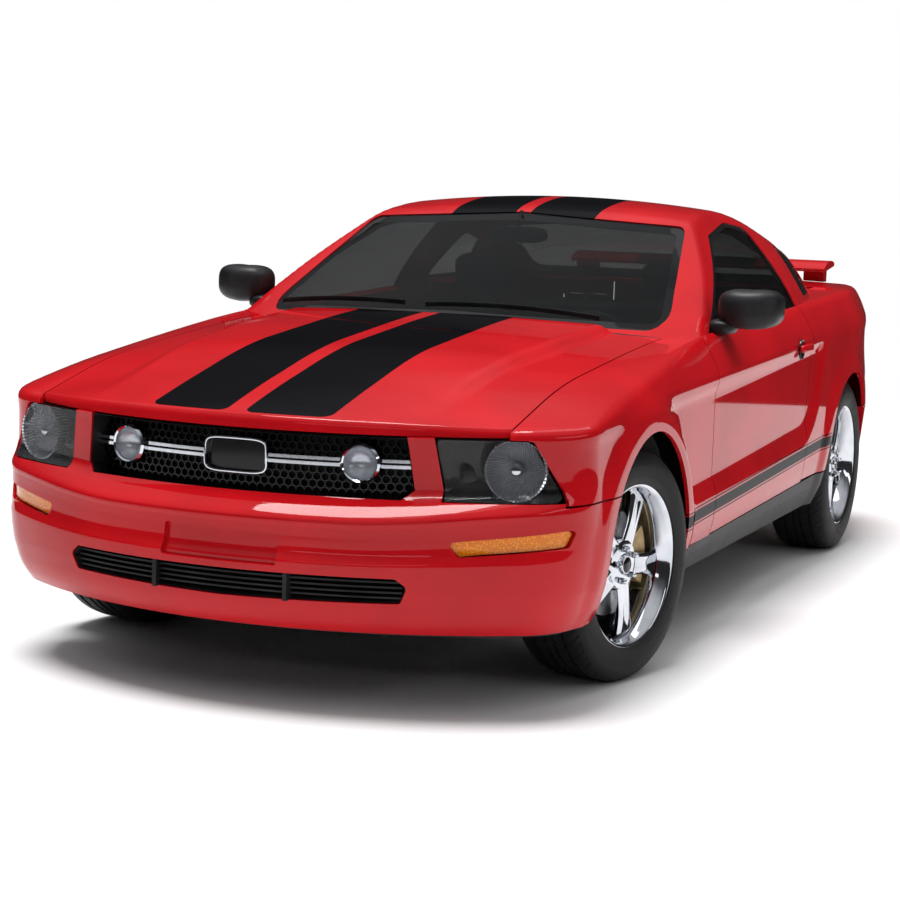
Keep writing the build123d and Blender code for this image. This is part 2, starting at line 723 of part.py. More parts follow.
KINGPIN = Axis(
    (FRONT_AXLE_X, KINGPIN_LOW[0], KINGPIN_LOW[1]),
    (0, KINGPIN_HIGH[0] - KINGPIN_LOW[0], KINGPIN_HIGH[1] - KINGPIN_LOW[1]),
)
KINGPIN_RIGHT = Axis(
    (FRONT_AXLE_X, -KINGPIN_LOW[0], KINGPIN_LOW[1]),
    (0, KINGPIN_LOW[0] - KINGPIN_HIGH[0], KINGPIN_HIGH[1] - KINGPIN_LOW[1]),
)


def kingpin_cylinder(radius, z_low, z_high):
    """A cylinder on the left kingpin between two heights."""
    rise = KINGPIN_HIGH[1] - KINGPIN_LOW[1]
    lean = KINGPIN_HIGH[0] - KINGPIN_LOW[0]
    stretch = hypot(rise, lean) / rise
    y = KINGPIN_LOW[0] + lean * (z_low - KINGPIN_LOW[1]) / rise
    plane = Plane(origin=(FRONT_AXLE_X, y, z_low), x_dir=(1, 0, 0), z_dir=(0, lean, rise))
    with BuildPart() as rod:
        with BuildSketch(plane):
            Circle(radius)
        extrude(amount=(z_high - z_low) * stretch)
    return rod.part


def floor_pan():
    """Underbody: floor, tunnel, firewall, rails, wheel houses and nose plate."""
    inside = body_envelope(SKIN, SKIN + SEAT_GAP)
    low, mid, high = FLOOR_Z, TANK_FLOOR_Z, BOOT_FLOOR_Z
    front, step, rear = FIREWALL_X + FLOOR_PLATE, TANK_FRONT_X, CABIN_REAR_X
    thick = FLOOR_PLATE
    tail = TAIL_X + 20
    profile = [
        (front, low),
        (step, low),
        (step, mid),
        (rear, mid),
        (rear, high),
        (tail, high),
        (tail, high + thick),
        (rear + thick, high + thick),
        (rear + thick, mid + thick),
        (step + thick, mid + thick),
        (step + thick, low + thick),
        (front, low + thick),
    ]
    tyre_in = TRACK_REAR / 2 - TYRE_WIDTH / 2
    with BuildPart() as pan:
        add(side_prism(profile, 0, SILL_INNER_Y))
        add(block(rear, front, 0, TUNNEL_HALF_WIDTH, low, TUNNEL_TOP_Z))
        tunnel_bore = TUNNEL_HALF_WIDTH - FLOOR_PLATE
        add(
            block(rear - 1, front + 1, 0, tunnel_bore, low - 1, TUNNEL_TOP_Z - thick),
            mode=Mode.SUBTRACT,
        )
        add(block(FIREWALL_X, front, 0, 826, low, 1200) - block(0, 2000, 0, tunnel_bore, 0, 420))
        add(block(FIREWALL_X - 60, front, 745, 826, low, 1200))
        add(block(front, NOSE_PLATE_X, *RAIL_Y, 440, 540))
        add(block(front, NOSE_PLATE_X, *APRON_Y, 440, SHELF_Z + 15))
        add(block(front, NOSE_PLATE_X, APRON_Y[0], 790, SHELF_Z, SHELF_Z + 15))
        add(block(front, NOSE_PLATE_X, SEAM_Y + 5, SEAM_Y + 23, SHELF_Z, 1200))
        add(block(NOSE_PLATE_X, NOSE_PLATE_X + 30, 0, 1000, 280, HOOD_LIP_Z - 12))
        add(arch(REAR_AXLE_X, LINER_RADIUS, tyre_in - 40, SILL_INNER_Y + 60))
        add(inside, mode=Mode.INTERSECT)
        add(arch(REAR_AXLE_X, LINER_RADIUS - 12, tyre_in - 28, 1000), mode=Mode.SUBTRACT)
        add(block(-FAR, FAR, -1, FAR, 0, low), mode=Mode.SUBTRACT)
        outer_y = TRACK_REAR / 2 + TYRE_WIDTH / 2
        well = block(-1800, -800, tyre_in - 40, outer_y, 0, BOOT_FLOOR_Z)
        add(well - block(-FAR, FAR, 0, FAR, 0, low), mode=Mode.SUBTRACT)
        add(block(-915, FAR, SILL_INNER_Y, FAR, 0, SILL_TOP_REAR_Z + 6), mode=Mode.SUBTRACT)
        add(front_prism(HEADLAMP, LAMP_REAR_X, FAR, 8.0), mode=Mode.SUBTRACT)
        add(front_prism(TURN_LAMP, LAMP_REAR_X, FAR, 8.0), mode=Mode.SUBTRACT)
    with BuildPart() as trimmed:
        add(pan.part)
        add(body_envelope(QUARTER_WALL, SKIN) + block(-700, FAR, 0, 1000, 0, 1300), mode=Mode.INTERSECT)
        add(kingpin_cylinder(SPRING_RADIUS + 6 + TOWER_WALL, SHELF_Z - 4, KINGPIN_HIGH[1]))
        add(
            kingpin_cylinder(SPRING_RADIUS + 6, SHELF_Z - 60, KINGPIN_HIGH[1] - TOWER_WALL),
            mode=Mode.SUBTRACT,
        )
        add(
            kingpin_cylinder(ROD_RADIUS + SPINDLE_GAP, SHELF_Z, KINGPIN_HIGH[1] + 60),
            mode=Mode.SUBTRACT,
        )
        for z in (420, 780):
            hinge_x = DOOR_FRONT_X - PANEL_GAP / 2 + SEAT_GAP
            add(block(hinge_x, FIREWALL_X, 800, 826, z, z + 60))
        mirror(about=Plane.XZ)
    return trimmed.part


def subframe():
    """Front crossmember with the lower control arms."""
    arm_z = KINGPIN_LOW[1]
    with BuildPart() as frame:
        add(block(FRONT_AXLE_X - 170, FRONT_AXLE_X + 60, 0, RAIL_Y[1], 190, 250))
        add(block(FRONT_AXLE_X - 60, FRONT_AXLE_X + 60, *RAIL_Y, 250, 440))
        with BuildSketch(Plane.XY.offset(arm_z - 12)):
            with BuildLine():
                Polyline(
                    (FRONT_AXLE_X - 160, RAIL_Y[1] - 40),
                    (FRONT_AXLE_X + 50, RAIL_Y[1] - 40),
                    (FRONT_AXLE_X + 26, KINGPIN_LOW[0]),
                    (FRONT_AXLE_X - 26, KINGPIN_LOW[0]),
                    close=True,
                )
            make_face()
            with Locations((FRONT_AXLE_X, KINGPIN_LOW[0])):
                Circle(28)
        extrude(amount=24)
        add(
            kingpin_cylinder(BALL_PIN_RADIUS + SPINDLE_GAP, arm_z - 30, arm_z + 30),
            mode=Mode.SUBTRACT,
        )
        mirror(about=Plane.XZ)
    return frame.part


def caliper():
    """Brake caliper round the disc, behind a wheel at the origin that spins about Y."""
    inner_y, outer_y = DISC_FACE - DISC_THICKNESS - 44, SPOKE_BACK - 7
    with BuildPart() as clamp:
        with BuildSketch(Plane.XZ.offset(-outer_y)):
            Circle(DISC_RADIUS + 20)
            Circle(94, mode=Mode.SUBTRACT)
            with BuildLine():
                Polyline((0, 0), (-300, 170), (-300, -170), close=True)
            make_face(mode=Mode.INTERSECT)
        extrude(amount=outer_y - inner_y)
        with BuildSketch(Plane.XZ.offset(-(DISC_FACE + 5))):
            Circle(DISC_RADIUS + 6)
        extrude(amount=DISC_THICKNESS + 10, mode=Mode.SUBTRACT)
    return clamp.part


def spindle(inner_y):
    """Stub shaft that carries a wheel at the origin."""
    with BuildPart() as shaft:
        with BuildSketch(Plane.XZ.offset(-(SPOKE_BACK + 4))):
            Circle(BORE_RADIUS - SPINDLE_GAP)
        extrude(amount=SPOKE_BACK + 4 - inner_y)
    return shaft.part


def knuckle():
    """Left knuckle with its spindle, caliper and strut, wheels straight ahead."""
    hub = Location((FRONT_AXLE_X, TRACK_FRONT / 2, TYRE_RADIUS + STEER_LIFT))
    x0, x1 = FRONT_AXLE_X - 28, FRONT_AXLE_X + 28
    low, high = KINGPIN_LOW[1], KINGPIN_HIGH[1]
    with BuildPart() as upright:
        add(block(x0, x1, 705, 748, low + 24, 490))
        add(block(x0, x1, 640, 748, 440, 490))
        add(block(FRONT_AXLE_X - 130, x1, 722, 748, TYRE_RADIUS - 40, TYRE_RADIUS + 40))
        add(spindle(-60).moved(hub))
        add(caliper().moved(hub))
        add(kingpin_cylinder(BALL_PIN_RADIUS, low - 20, low + 40))
        add(kingpin_cylinder(25, 450, 720))
        add(kingpin_cylinder(SPRING_RADIUS, 716, high - TOWER_WALL - 6))
        add(kingpin_cylinder(ROD_RADIUS, 720, high + 14))
    return upright.part


def wheel():
    """Road wheel with its brake disc, at the origin, outer side towards +Y."""
    half = RIM_WIDTH / 2
    bed = RIM_RADIUS - RIM_WALL
    with BuildPart() as rim:
        with BuildSketch(Plane.XY):
            with BuildLine():
                Polyline(
                    (bed, -half),
                    (RIM_LIP_RADIUS, -half),
                    (RIM_LIP_RADIUS, -half + 8),
                    (RIM_RADIUS, -half + 14),
                    (RIM_RADIUS, half - 14),
                    (RIM_LIP_RADIUS, half - 8),
                    (RIM_LIP_RADIUS, half),
                    (bed, half),
                    close=True,
                )
            make_face()
        revolve(axis=Axis.Y)
        with BuildSketch(Plane.XZ.offset(-(SPOKE_BACK + SPOKE_DEPTH))):
            Circle(HUB_RADIUS)
            with PolarLocations(0, SPOKES, start_angle=90):
                with Locations((HUB_RADIUS / 2 + bed / 2, 0)):
                    Rectangle(bed - HUB_RADIUS + 14, SPOKE_WIDTH)
        extrude(amount=SPOKE_DEPTH)
        with BuildSketch(Plane.XZ.offset(-SPOKE_BACK)):
            Circle(HUB_RADIUS)
        extrude(amount=SPOKE_BACK - DISC_FACE + DISC_THICKNESS)
        with BuildSketch(Plane.XZ.offset(-DISC_FACE)):
            Circle(DISC_RADIUS)
        extrude(amount=DISC_THICKNESS)
        with BuildSketch(Plane.XZ.offset(-(SPOKE_BACK + SPOKE_DEPTH + LUG_LENGTH))):
            with PolarLocations(STUD_CIRCLE_RADIUS, SPOKES, start_angle=126):
                RegularPolygon(LUG_RADIUS, 6)
        extrude(amount=LUG_LENGTH)
        with BuildSketch(Plane.XZ.offset(-(SPOKE_BACK + SPOKE_DEPTH + 6))):
            Circle(CAP_RADIUS)
        extrude(amount=6)
        with BuildSketch(Plane.XZ.offset(-(SPOKE_BACK + 12))):
            Circle(BORE_RADIUS)
        extrude(amount=200, mode=Mode.SUBTRACT)
    return rim.part


def tyre():
    """Road tyre at the origin, axle along Y."""
    half = TYRE_WIDTH / 2
    seat = RIM_WIDTH / 2 - 15
    side = [
        (RIM_RADIUS, seat),
        (RIM_LIP_RADIUS + 4, seat + 3),
        (RIM_LIP_RADIUS + 24, half - 4),
        (RIM_LIP_RADIUS + 46, half),
        (TYRE_RADIUS - TYRE_SHOULDER, half - 5),
        (TYRE_RADIUS - 6, half - TYRE_SHOULDER + 5),
        (TYRE_RADIUS, half - TYRE_SHOULDER - 8),
    ]
    with BuildPart() as ring:
        with BuildSketch(Plane.XY):
            with BuildLine():
                Polyline(*side, *[(r, -y) for r, y in reversed(side)], close=True)
            make_face()
        revolve(axis=Axis.Y)
    return ring.part


def rear_axle():
    """Live rear axle with its springs, trailing arms, spindles and calipers."""
    hub_y = TRACK_REAR / 2
    tube_end = hub_y + DISC_FACE - DISC_THICKNESS - 14
    with BuildPart() as axle:
        with BuildSketch(Plane.XZ.offset(-tube_end)):
            with Locations((REAR_AXLE_X, TYRE_RADIUS)):
                Circle(AXLE_TUBE_RADIUS)
        extrude(amount=tube_end)
        with BuildSketch(Plane.XZ.offset(-130)):
            with Locations((REAR_AXLE_X, TYRE_RADIUS)):
                Circle(DIFF_RADIUS)
        extrude(amount=130)
        with BuildSketch(Plane.YZ.offset(DIFF_NOSE_X)):
            with Locations((0, SHAFT_Z)):
                Circle(60)
        extrude(amount=REAR_AXLE_X - DIFF_NOSE_X)
        split(bisect_by=Plane.XZ, keep=Keep.BOTTOM)
        with BuildSketch(Plane.XY.offset(TYRE_RADIUS + 20)):
            with Locations((REAR_AXLE_X, REAR_SPRING_Y)):
                Circle(52)
        extrude(amount=BOOT_FLOOR_Z - TYRE_RADIUS - 20)
        add(block(REAR_AXLE_X, CABIN_REAR_X, 580, 610, TYRE_RADIUS + 18, TYRE_RADIUS + 50))
        add(block(REAR_AXLE_X - 160, REAR_AXLE_X, tube_end - 14, tube_end, 306, 386))
        hub = Location((REAR_AXLE_X, hub_y, TYRE_RADIUS))
        add(spindle(-60).moved(hub))
        add(caliper().moved(hub))
        mirror(about=Plane.XZ)
    return axle.part


def engine():
    """Engine and gearbox as one plain block on the crossmember."""
    with BuildPart() as lump:
        add(block(1080, 1700, -290, 290, 250, 830))
        with BuildSketch(Plane.YZ.offset(1080)):
            with Locations((0, SHAFT_Z)):
                Circle(120)
        extrude(amount=-(1080 - FIREWALL_X - 60))
        with BuildSketch(Plane.YZ.offset(FIREWALL_X + 60)):
            with Locations((0, SHAFT_Z)):
                Circle(80)
        extrude(amount=-(FIREWALL_X + 60 - GEARBOX_REAR_X))
    return lump.part


def driveshaft():
    """Propeller shaft from the gearbox to the axle."""
    with BuildPart() as shaft:
        with BuildSketch(Plane.YZ.offset(GEARBOX_REAR_X)):
            with Locations((0, SHAFT_Z)):
                Circle(35)
        extrude(amount=DIFF_NOSE_X - GEARBOX_REAR_X)
    return shaft.part


def exhaust():
    """Exhaust pipe, silencer and tail pipe on the left."""
    pipe_y = 230.0
    tail = (TAIL_PIPE_Y, TAIL_PIPE_Z)
    pipe_z = FLOOR_Z - 30
    route = [
        (1060, pipe_y, pipe_z),
        (-640, pipe_y, pipe_z - 24),
        (-1020, 330, 240),
        (-1180, 380, 436),
        (-1420, 400, 436),
        (-1720, 520, 350),
    ]
    with BuildPart() as pipe:
        with BuildLine() as path:
            FilletPolyline(*route, radius=60)
        with BuildSketch(Plane(origin=route[0], z_dir=path.line % 0)):
            Circle(28)
        sweep()
        add(block(-2180, -1690, 400, 640, 270, 430))
        add(block(-1960, -1900, 480, 540, 430, BOOT_FLOOR_Z))
        with BuildSketch(Plane.YZ.offset(-2170)):
            with Locations(tail):
                Circle(32)
        extrude(amount=-(2340 - 2170))
    return pipe.part


def fuel_tank():
    """Saddle fuel tank under the rear seat."""
    with BuildPart() as tank:
        with BuildSketch(Plane.XY.offset(212)):
            with Locations(((CABIN_REAR_X + TANK_FRONT_X) / 2 - 10, -405)):
                RectangleRounded(TANK_FRONT_X - CABIN_REAR_X - 60, 420, 50)
        extrude(amount=TANK_FLOOR_Z - 212)
    return tank.part


def dashboard():
    """Instrument panel from the firewall back."""
    with BuildPart() as panel:
        with BuildSketch(Plane.XZ.offset(-700)):
            with BuildLine():
                Polyline(
                    (FIREWALL_X, 560),
                    (560, 600),
                    (480, 700),
                    (450, 840),
                    (490, 895),
                    (600, 925),
                    (FIREWALL_X, 925),
                    close=True,
                )
            make_face()
        extrude(amount=1400)
        add(steering_wheel(), mode=Mode.SUBTRACT)
    return panel.part


def steering_wheel():
    """Steering wheel and column on the left."""
    tilt = Plane(origin=(330, 370, 850), x_dir=(0, 1, 0), z_dir=(-1, 0, 0.42))
    with BuildPart() as helm:
        with BuildSketch(Plane(origin=tilt.origin, x_dir=tilt.x_dir, z_dir=tilt.y_dir)):
            with Locations((172, 0)):
                Circle(15)
        revolve(axis=Axis(tilt.origin, tilt.z_dir))
        with BuildSketch(tilt.offset(-30)):
            Circle(66)
        extrude(amount=44)
        with BuildSketch(tilt.offset(-8)):
            Rectangle(330, 46)
            with Locations((0, -82)):
                Rectangle(44, 164)
        extrude(amount=14)
        with BuildSketch(tilt.offset(-30)):
            Circle(36)
        extrude(amount=-116)
    return helm.part


def seat(x, y, width, cushion_z, floor_z, back_top, rake):
    """One seat: cushion on its base and a raked back."""
    with BuildPart() as chair:
        with BuildSketch(Plane.XZ.offset(-(y + width / 2))):
            with BuildLine():
                lean = (back_top - cushion_z) * tan(radians(rake))
                Polyline(
                    (x - 60, floor_z),
                    (x + 420, floor_z),
                    (x + 470, cushion_z - 20),
                    (x + 460, cushion_z + 20),
                    (x + 20, cushion_z - 10),
                    (x - 10 - lean, back_top),
                    (x - 100 - lean, back_top),
                    (x - 130, cushion_z - 20),
                    close=True,
                )
            make_face()
        extrude(amount=width)
        fillet(chair.edges().filter_by(Axis.Y).group_by(Axis.Z)[-1], 30)
    return chair.part


def front_seats():
    """Pair of front seats with headrests."""
    with BuildPart() as seats:
        add(seat(-250, 385, 450, 560, FLOOR_Z + FLOOR_PLATE, 1010, 22))
        with BuildSketch(Plane.XY.offset(1005)):
            with Locations((-478, 380)):
                RectangleRounded(90, 230, 30)
        extrude(amount=175)
        mirror(about=Plane.XZ)
    return seats.part


def rear_seat():
    """Rear bench."""
    with BuildPart() as bench:
        add(seat(-880, 0, 1080, 570, TANK_FLOOR_Z + FLOOR_PLATE, 930, 30))
        tunnel = TUNNEL_HALF_WIDTH
        add(block(-1200, 0, -tunnel, tunnel, 0, TUNNEL_TOP_Z), mode=Mode.SUBTRACT)
        add(block(-1400, CABIN_REAR_X + FLOOR_PLATE, -600, 600, 0, 505), mode=Mode.SUBTRACT)
    return bench.part


def mirror_housing():
    """Left door mirror: rounded housing on a short arm."""
    with BuildPart() as housing:
        with BuildSketch(Plane.XZ.offset(-905)):
            with Locations((455, 1064)):
                RectangleRounded(110, 96, 40)
        with BuildSketch(Plane.XZ.offset(-1010)):
            with Locations((420, 1066)):
                RectangleRounded(96, 100, 40)
        with BuildSketch(Plane.XZ.offset(-1050)):
            with Locations((400, 1068)):
                RectangleRounded(60, 70, 28)
        loft()
        with BuildSketch(Plane.XZ.offset(-800)):
            with Locations((500, 965)):
                RectangleRounded(120, 44, 20)
        with BuildSketch(Plane.XZ.offset(-950)):
            with Locations((450, 1040)):
                RectangleRounded(100, 44, 20)
        loft()
        add(body, mode=Mode.SUBTRACT)
        add(cab_envelope(-PANEL_GAP, -PANEL_GAP), mode=Mode.SUBTRACT)
        add(block(-FAR, FAR, CAB[0][2] + PANEL_GAP, FAR, 0, FAR), mode=Mode.INTERSECT)
    return housing.part


def spoiler():
    """Pedestal spoiler on the deck lid."""
    with BuildPart() as wing:
        with BuildSketch(Plane.XZ.offset(-600)):
            with BuildLine():
                nose = (-2130, 1112)
                tail = (-2330, 1136)
                ThreePointArc(nose, (-2210, 1142), tail)
                Polyline(tail, (-2332, 1122), (-2140, 1098), nose)
            make_face()
        extrude(amount=1200)
        for y in (-540, 0, 540):
            add(block(-2250, -2180, y - 45, y + 45, 1030, 1125))
        add(both_sides(under_top(0)), mode=Mode.SUBTRACT)
    return wing.part


# ---- the pieces ---------------------------------------------------------------------
def left_and_right(part, name):
    """Write a left piece and its mirror image."""
    finish(part, "left_" + name)
    finish(part.mirror(Plane.XZ), "right_" + name)


finish(floor_pan(), "floor_pan")
finish(both_sides(sill()), "sills")
finish(roof_frame(), "roof")
left_and_right(front_fender(), "fender")
left_and_right(quarter(), "quarter")
finish(front_bumper(), "front_bumper")
finish(rear_bumper(), "rear_bumper")
finish(both_sides(grille()), "grille")
finish(both_sides(front_lamps()), "front_lamps")
finish(both_sides(tail_lamps()), "tail_lamps")
finish(cowl(), "cowl")
finish(hood(), "hood")
finish(deck_lid(), "deck_lid")
finish(spoiler(), "spoiler")
left_and_right(door(), "door")
left_and_right(window_pane(DOOR_WINDOW, PANEL_GAP - 1), "door_glass")
left_and_right(mirror_housing(), "mirror")
finish(both_sides(window_pane(QUARTER_WINDOW, 0)), "quarter_windows")
finish(both_sides(glass_shell & front_prism(SCREEN_OPENING, 0, FAR)), "windscreen")
finish(both_sides(glass_shell & front_prism(REAR_OPENING, -FAR, -600)), "rear_window")
finish(subframe(), "front_subframe")
finish(rear_axle(), "rear_axle")
finish(engine(), "engine")
finish(driveshaft(), "driveshaft")
finish(exhaust(), "exhaust")
finish(fuel_tank(), "fuel_tank")
finish(dashboard(), "dashboard")
finish(steering_wheel(), "steering_wheel")
finish(front_seats(), "front_seats")
finish(rear_seat(), "rear_seat")

left_knuckle = knuckle()
right_knuckle = left_knuckle.mirror(Plane.XZ)
finish(left_knuckle.rotate(KINGPIN, STEER_REST), "left_knuckle")
finish(right_knuckle.rotate(KINGPIN_RIGHT, STEER_REST), "right_knuckle")
for kind, make in (("wheel", wheel), ("tyre", tyre)):
    piece = make()
    front = piece.moved(Location((FRONT_AXLE_X, TRACK_FRONT / 2, TYRE_RADIUS + STEER_LIFT)))
    rear = piece.moved(Location((REAR_AXLE_X, TRACK_REAR / 2, TYRE_RADIUS)))
    finish(front.rotate(KINGPIN, STEER_REST), f"front_left_{kind}")
    finish(front.mirror(Plane.XZ).rotate(KINGPIN_RIGHT, STEER_REST), f"front_right_{kind}")
    finish(rear, f"rear_left_{kind}")
    finish(rear.mirror(Plane.XZ), f"rear_right_{kind}")
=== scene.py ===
"""Looks of a full-size two-door muscle car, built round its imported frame.

Frame: +X forward, +Y to the car's left, +Z up, metres. The origin lies on the ground
under the middle of the car.
"""

import json
from math import asin, atan2, cos, hypot, pi, radians, sin, sqrt, tan

import bmesh
import bpy
import numpy as np
from mathutils import Matrix, Vector


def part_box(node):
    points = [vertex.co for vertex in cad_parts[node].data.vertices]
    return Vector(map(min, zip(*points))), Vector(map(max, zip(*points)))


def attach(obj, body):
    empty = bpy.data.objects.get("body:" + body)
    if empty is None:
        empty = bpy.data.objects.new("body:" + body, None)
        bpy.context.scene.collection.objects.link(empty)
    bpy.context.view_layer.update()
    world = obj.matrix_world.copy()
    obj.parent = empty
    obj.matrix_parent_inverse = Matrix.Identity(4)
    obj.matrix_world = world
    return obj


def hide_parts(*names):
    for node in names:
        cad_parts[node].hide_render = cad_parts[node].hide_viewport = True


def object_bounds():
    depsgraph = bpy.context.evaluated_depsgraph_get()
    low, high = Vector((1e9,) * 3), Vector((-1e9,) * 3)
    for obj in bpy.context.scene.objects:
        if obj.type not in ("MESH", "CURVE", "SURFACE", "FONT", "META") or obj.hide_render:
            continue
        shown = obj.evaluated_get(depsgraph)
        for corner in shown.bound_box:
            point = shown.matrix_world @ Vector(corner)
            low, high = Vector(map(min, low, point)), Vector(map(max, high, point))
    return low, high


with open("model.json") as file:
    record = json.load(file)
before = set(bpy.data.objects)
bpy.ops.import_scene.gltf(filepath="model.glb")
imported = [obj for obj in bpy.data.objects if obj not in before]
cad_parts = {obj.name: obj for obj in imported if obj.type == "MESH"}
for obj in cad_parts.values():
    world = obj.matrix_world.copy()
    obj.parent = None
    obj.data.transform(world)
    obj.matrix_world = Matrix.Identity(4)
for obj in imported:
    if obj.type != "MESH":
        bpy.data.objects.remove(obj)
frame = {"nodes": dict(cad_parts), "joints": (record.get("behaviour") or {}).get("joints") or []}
CAD_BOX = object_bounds()
SIDES = ((1, "left_"), (-1, "right_"))

bl_info = {
    "name": "Muscle car",
    "version": (1, 0, 0),
    "blender": (4, 5, 0),
    "location": "3D View > Sidebar > Car",
    "description": "Builds the body, wheels, lamps and cabin of a two-door muscle car",
    "category": "Add Mesh",
}


# ---- shader maths -------------------------------------------------------------------
class Field:
    """One output of a shader node, which takes Python's arithmetic."""

    def __init__(self, graph, socket):
        self.graph = graph
        self.socket = socket

    def _math(self, operation, *values):
        return self.graph.math(operation, *values)

    def __add__(self, other):
        return self._math("ADD", self, other)

    def __radd__(self, other):
        return self._math("ADD", other, self)

    def __sub__(self, other):
        return self._math("SUBTRACT", self, other)

    def __rsub__(self, other):
        return self._math("SUBTRACT", other, self)

    def __mul__(self, other):
        return self._math("MULTIPLY", self, other)

    def __rmul__(self, other):
        return self._math("MULTIPLY", other, self)

    def __truediv__(self, other):
        return self._math("DIVIDE", self, other)

    def __rtruediv__(self, other):
        return self._math("DIVIDE", other, self)

    def __mod__(self, other):
        return self._math("FLOORED_MODULO", self, other)

    def __gt__(self, other):
        return self._math("GREATER_THAN", self, other)

    def __lt__(self, other):
        return self._math("LESS_THAN", self, other)

    def __abs__(self):
        return self._math("ABSOLUTE", self)

    def rise(self, low, high):
        """0 below low, 1 above high, and smooth between them."""
        return self.graph.node(
            "ShaderNodeMapRange",
            {"interpolation_type": "SMOOTHSTEP"},
            {"Value": self, "From Min": low, "From Max": high},
        )

    def between(self, low, high, soft=0.0006):
        """1 from low to high, 0 elsewhere."""
        return self.rise(low - soft, low + soft) * (1 - self.rise(high - soft, high + soft))


class Graph:
    """A material's nodes, made one call each."""

    def __init__(self, name):
        self.material = bpy.data.materials.new(name)
        self.material.use_nodes = True
        self.tree = self.material.node_tree
        self.tree.nodes.clear()
        self.point = self.node("ShaderNodeTexCoord", out="Object")
        self.x, self.y, self.z = (
            self.node("ShaderNodeSeparateXYZ", inputs={0: self.point}, out=axis)
            for axis in range(3)
        )

    def node(self, kind, settings=None, inputs=None, out=0):
        """Adds a node: its settings first, then its inputs' values or links."""
        made = self.tree.nodes.new(kind)
        for key, value in (settings or {}).items():
            if key == "stops":
                ramp = made.color_ramp
                while len(ramp.elements) < len(value):
                    ramp.elements.new(0.5)
                for element, (place, colour) in zip(ramp.elements, value):
                    element.position = place
                    element.color = colour
            else:
                setattr(made, key, value)
        for key, value in (inputs or {}).items():
            if isinstance(value, Field):
                self.tree.links.new(value.socket, made.inputs[key])
            else:
                made.inputs[key].default_value = value
        return Field(self, made.outputs[out])

    def math(self, operation, *values):
        """One step of arithmetic, by its name."""
        return self.node("ShaderNodeMath", {"operation": operation}, dict(enumerate(values)))

    def vector(self, operation, *values, out="Value"):
        """One step of vector arithmetic, by its name."""
        inputs = dict(enumerate(values))
        return self.node("ShaderNodeVectorMath", {"operation": operation}, inputs, out)

    def mix(self, factor, first, second):
        """Blend of two colours."""
        return self.node(
            "ShaderNodeMix", {"data_type": "RGBA"}, {0: factor, 6: first, 7: second}, out=2
        )

    def tones(self, factor, name):
        """Blend of the two tones of a finish."""
        return self.mix(factor, *TONES[name])

    def noise(self, scale, detail=2.0, roughness=0.5, vector=None):
        """Cloudy pattern from 0 to 1, at a scale in repeats per metre."""
        return self.node(
            "ShaderNodeTexNoise",
            None,
            {"Vector": vector or self.point, "Scale": scale, "Detail": detail, "Roughness": roughness},
        )

    def bump(self, height, distance, strength=1.0):
        """Surface relief of a height field, in metres."""
        return self.node(
            "ShaderNodeBump", None, {"Height": height, "Distance": distance, "Strength": strength}
        )

    def surface(self, **sockets):
        """Principled surface; underscores stand for the spaces in its sockets' names."""
        inputs = {key.replace("_", " "): value for key, value in sockets.items()}
        shader = self.node("ShaderNodeBsdfPrincipled", None, inputs)
        output = self.tree.nodes.new("ShaderNodeOutputMaterial")
        self.tree.links.new(shader.socket, output.inputs["Surface"])
        return self.material


# ---- finishes -----------------------------------------------------------------------
RED = (0.54, 0.004, 0.009, 1.0)
DEEPER = 0.82  # tone of the paint's darker clouds
FLAKE_TINT = (0.95, 0.10, 0.09, 1.0)
PAINT_GLOSS = 0.85
STRIPE_GLOSS_LOSS = 0.55
STRIPE_BLACK = (0.003, 0.003, 0.004, 1.0)
WINDOW_TINT = 0.36
# The two tones of each finish that a cloud or a pattern blends.
TONES = {
    "chrome": ((0.62, 0.64, 0.68, 1.0), (0.50, 0.52, 0.56, 1.0)),
    "moulded_black": ((0.009, 0.009, 0.010, 1.0), (0.022, 0.022, 0.024, 1.0)),
    "gloss_black": ((0.004, 0.004, 0.005, 1.0), (0.008, 0.008, 0.009, 1.0)),
    "tyre_rubber": ((0.013, 0.013, 0.014, 1.0), (0.030, 0.029, 0.028, 1.0)),
    "wheel_rubber": ((0.007, 0.007, 0.008, 1.0), (0.016, 0.0155, 0.015, 1.0)),
    "window_glass": ((0.003, 0.004, 0.004, 1.0), (0.006, 0.008, 0.008, 1.0)),
    "reflector": ((0.72, 0.74, 0.78, 1.0), (0.40, 0.44, 0.50, 1.0)),
    # fluted reflector: the light tone is painted highlight on the flutes' ridges, the dark tone painted
    # shade in their hollows
    "fluted_reflector": ((0.90, 0.91, 0.95, 1.0), (0.22, 0.24, 0.28, 1.0)),
    "seat_leather": ((0.016, 0.016, 0.017, 1.0), (0.034, 0.033, 0.032, 1.0)),
    "amber_lens": ((1.0, 0.46, 0.03, 1.0), (0.80, 0.20, 0.0, 1.0)),
    "red_lens": ((0.34, 0.003, 0.006, 1.0), (0.10, 0.001, 0.002, 1.0)),
    "underbody_coat": ((0.02, 0.02, 0.021, 1.0), (0.010, 0.010, 0.011, 1.0)),
    "chassis_steel": ((0.10, 0.10, 0.105, 1.0), (0.045, 0.045, 0.048, 1.0)),
    "engine_alloy": ((0.30, 0.31, 0.32, 1.0), (0.16, 0.165, 0.17, 1.0)),
    "exhaust_steel": ((0.52, 0.50, 0.47, 1.0), (0.30, 0.28, 0.26, 1.0)),
    "brushed_disc": ((0.55, 0.55, 0.56, 1.0), (0.36, 0.35, 0.34, 1.0)),
    "caliper_gold": ((0.55, 0.40, 0.20, 1.0), (0.38, 0.26, 0.12, 1.0)),
    "floor_paint": ((0.90, 0.90, 0.90, 1.0), (0.88, 0.88, 0.88, 1.0)),
}

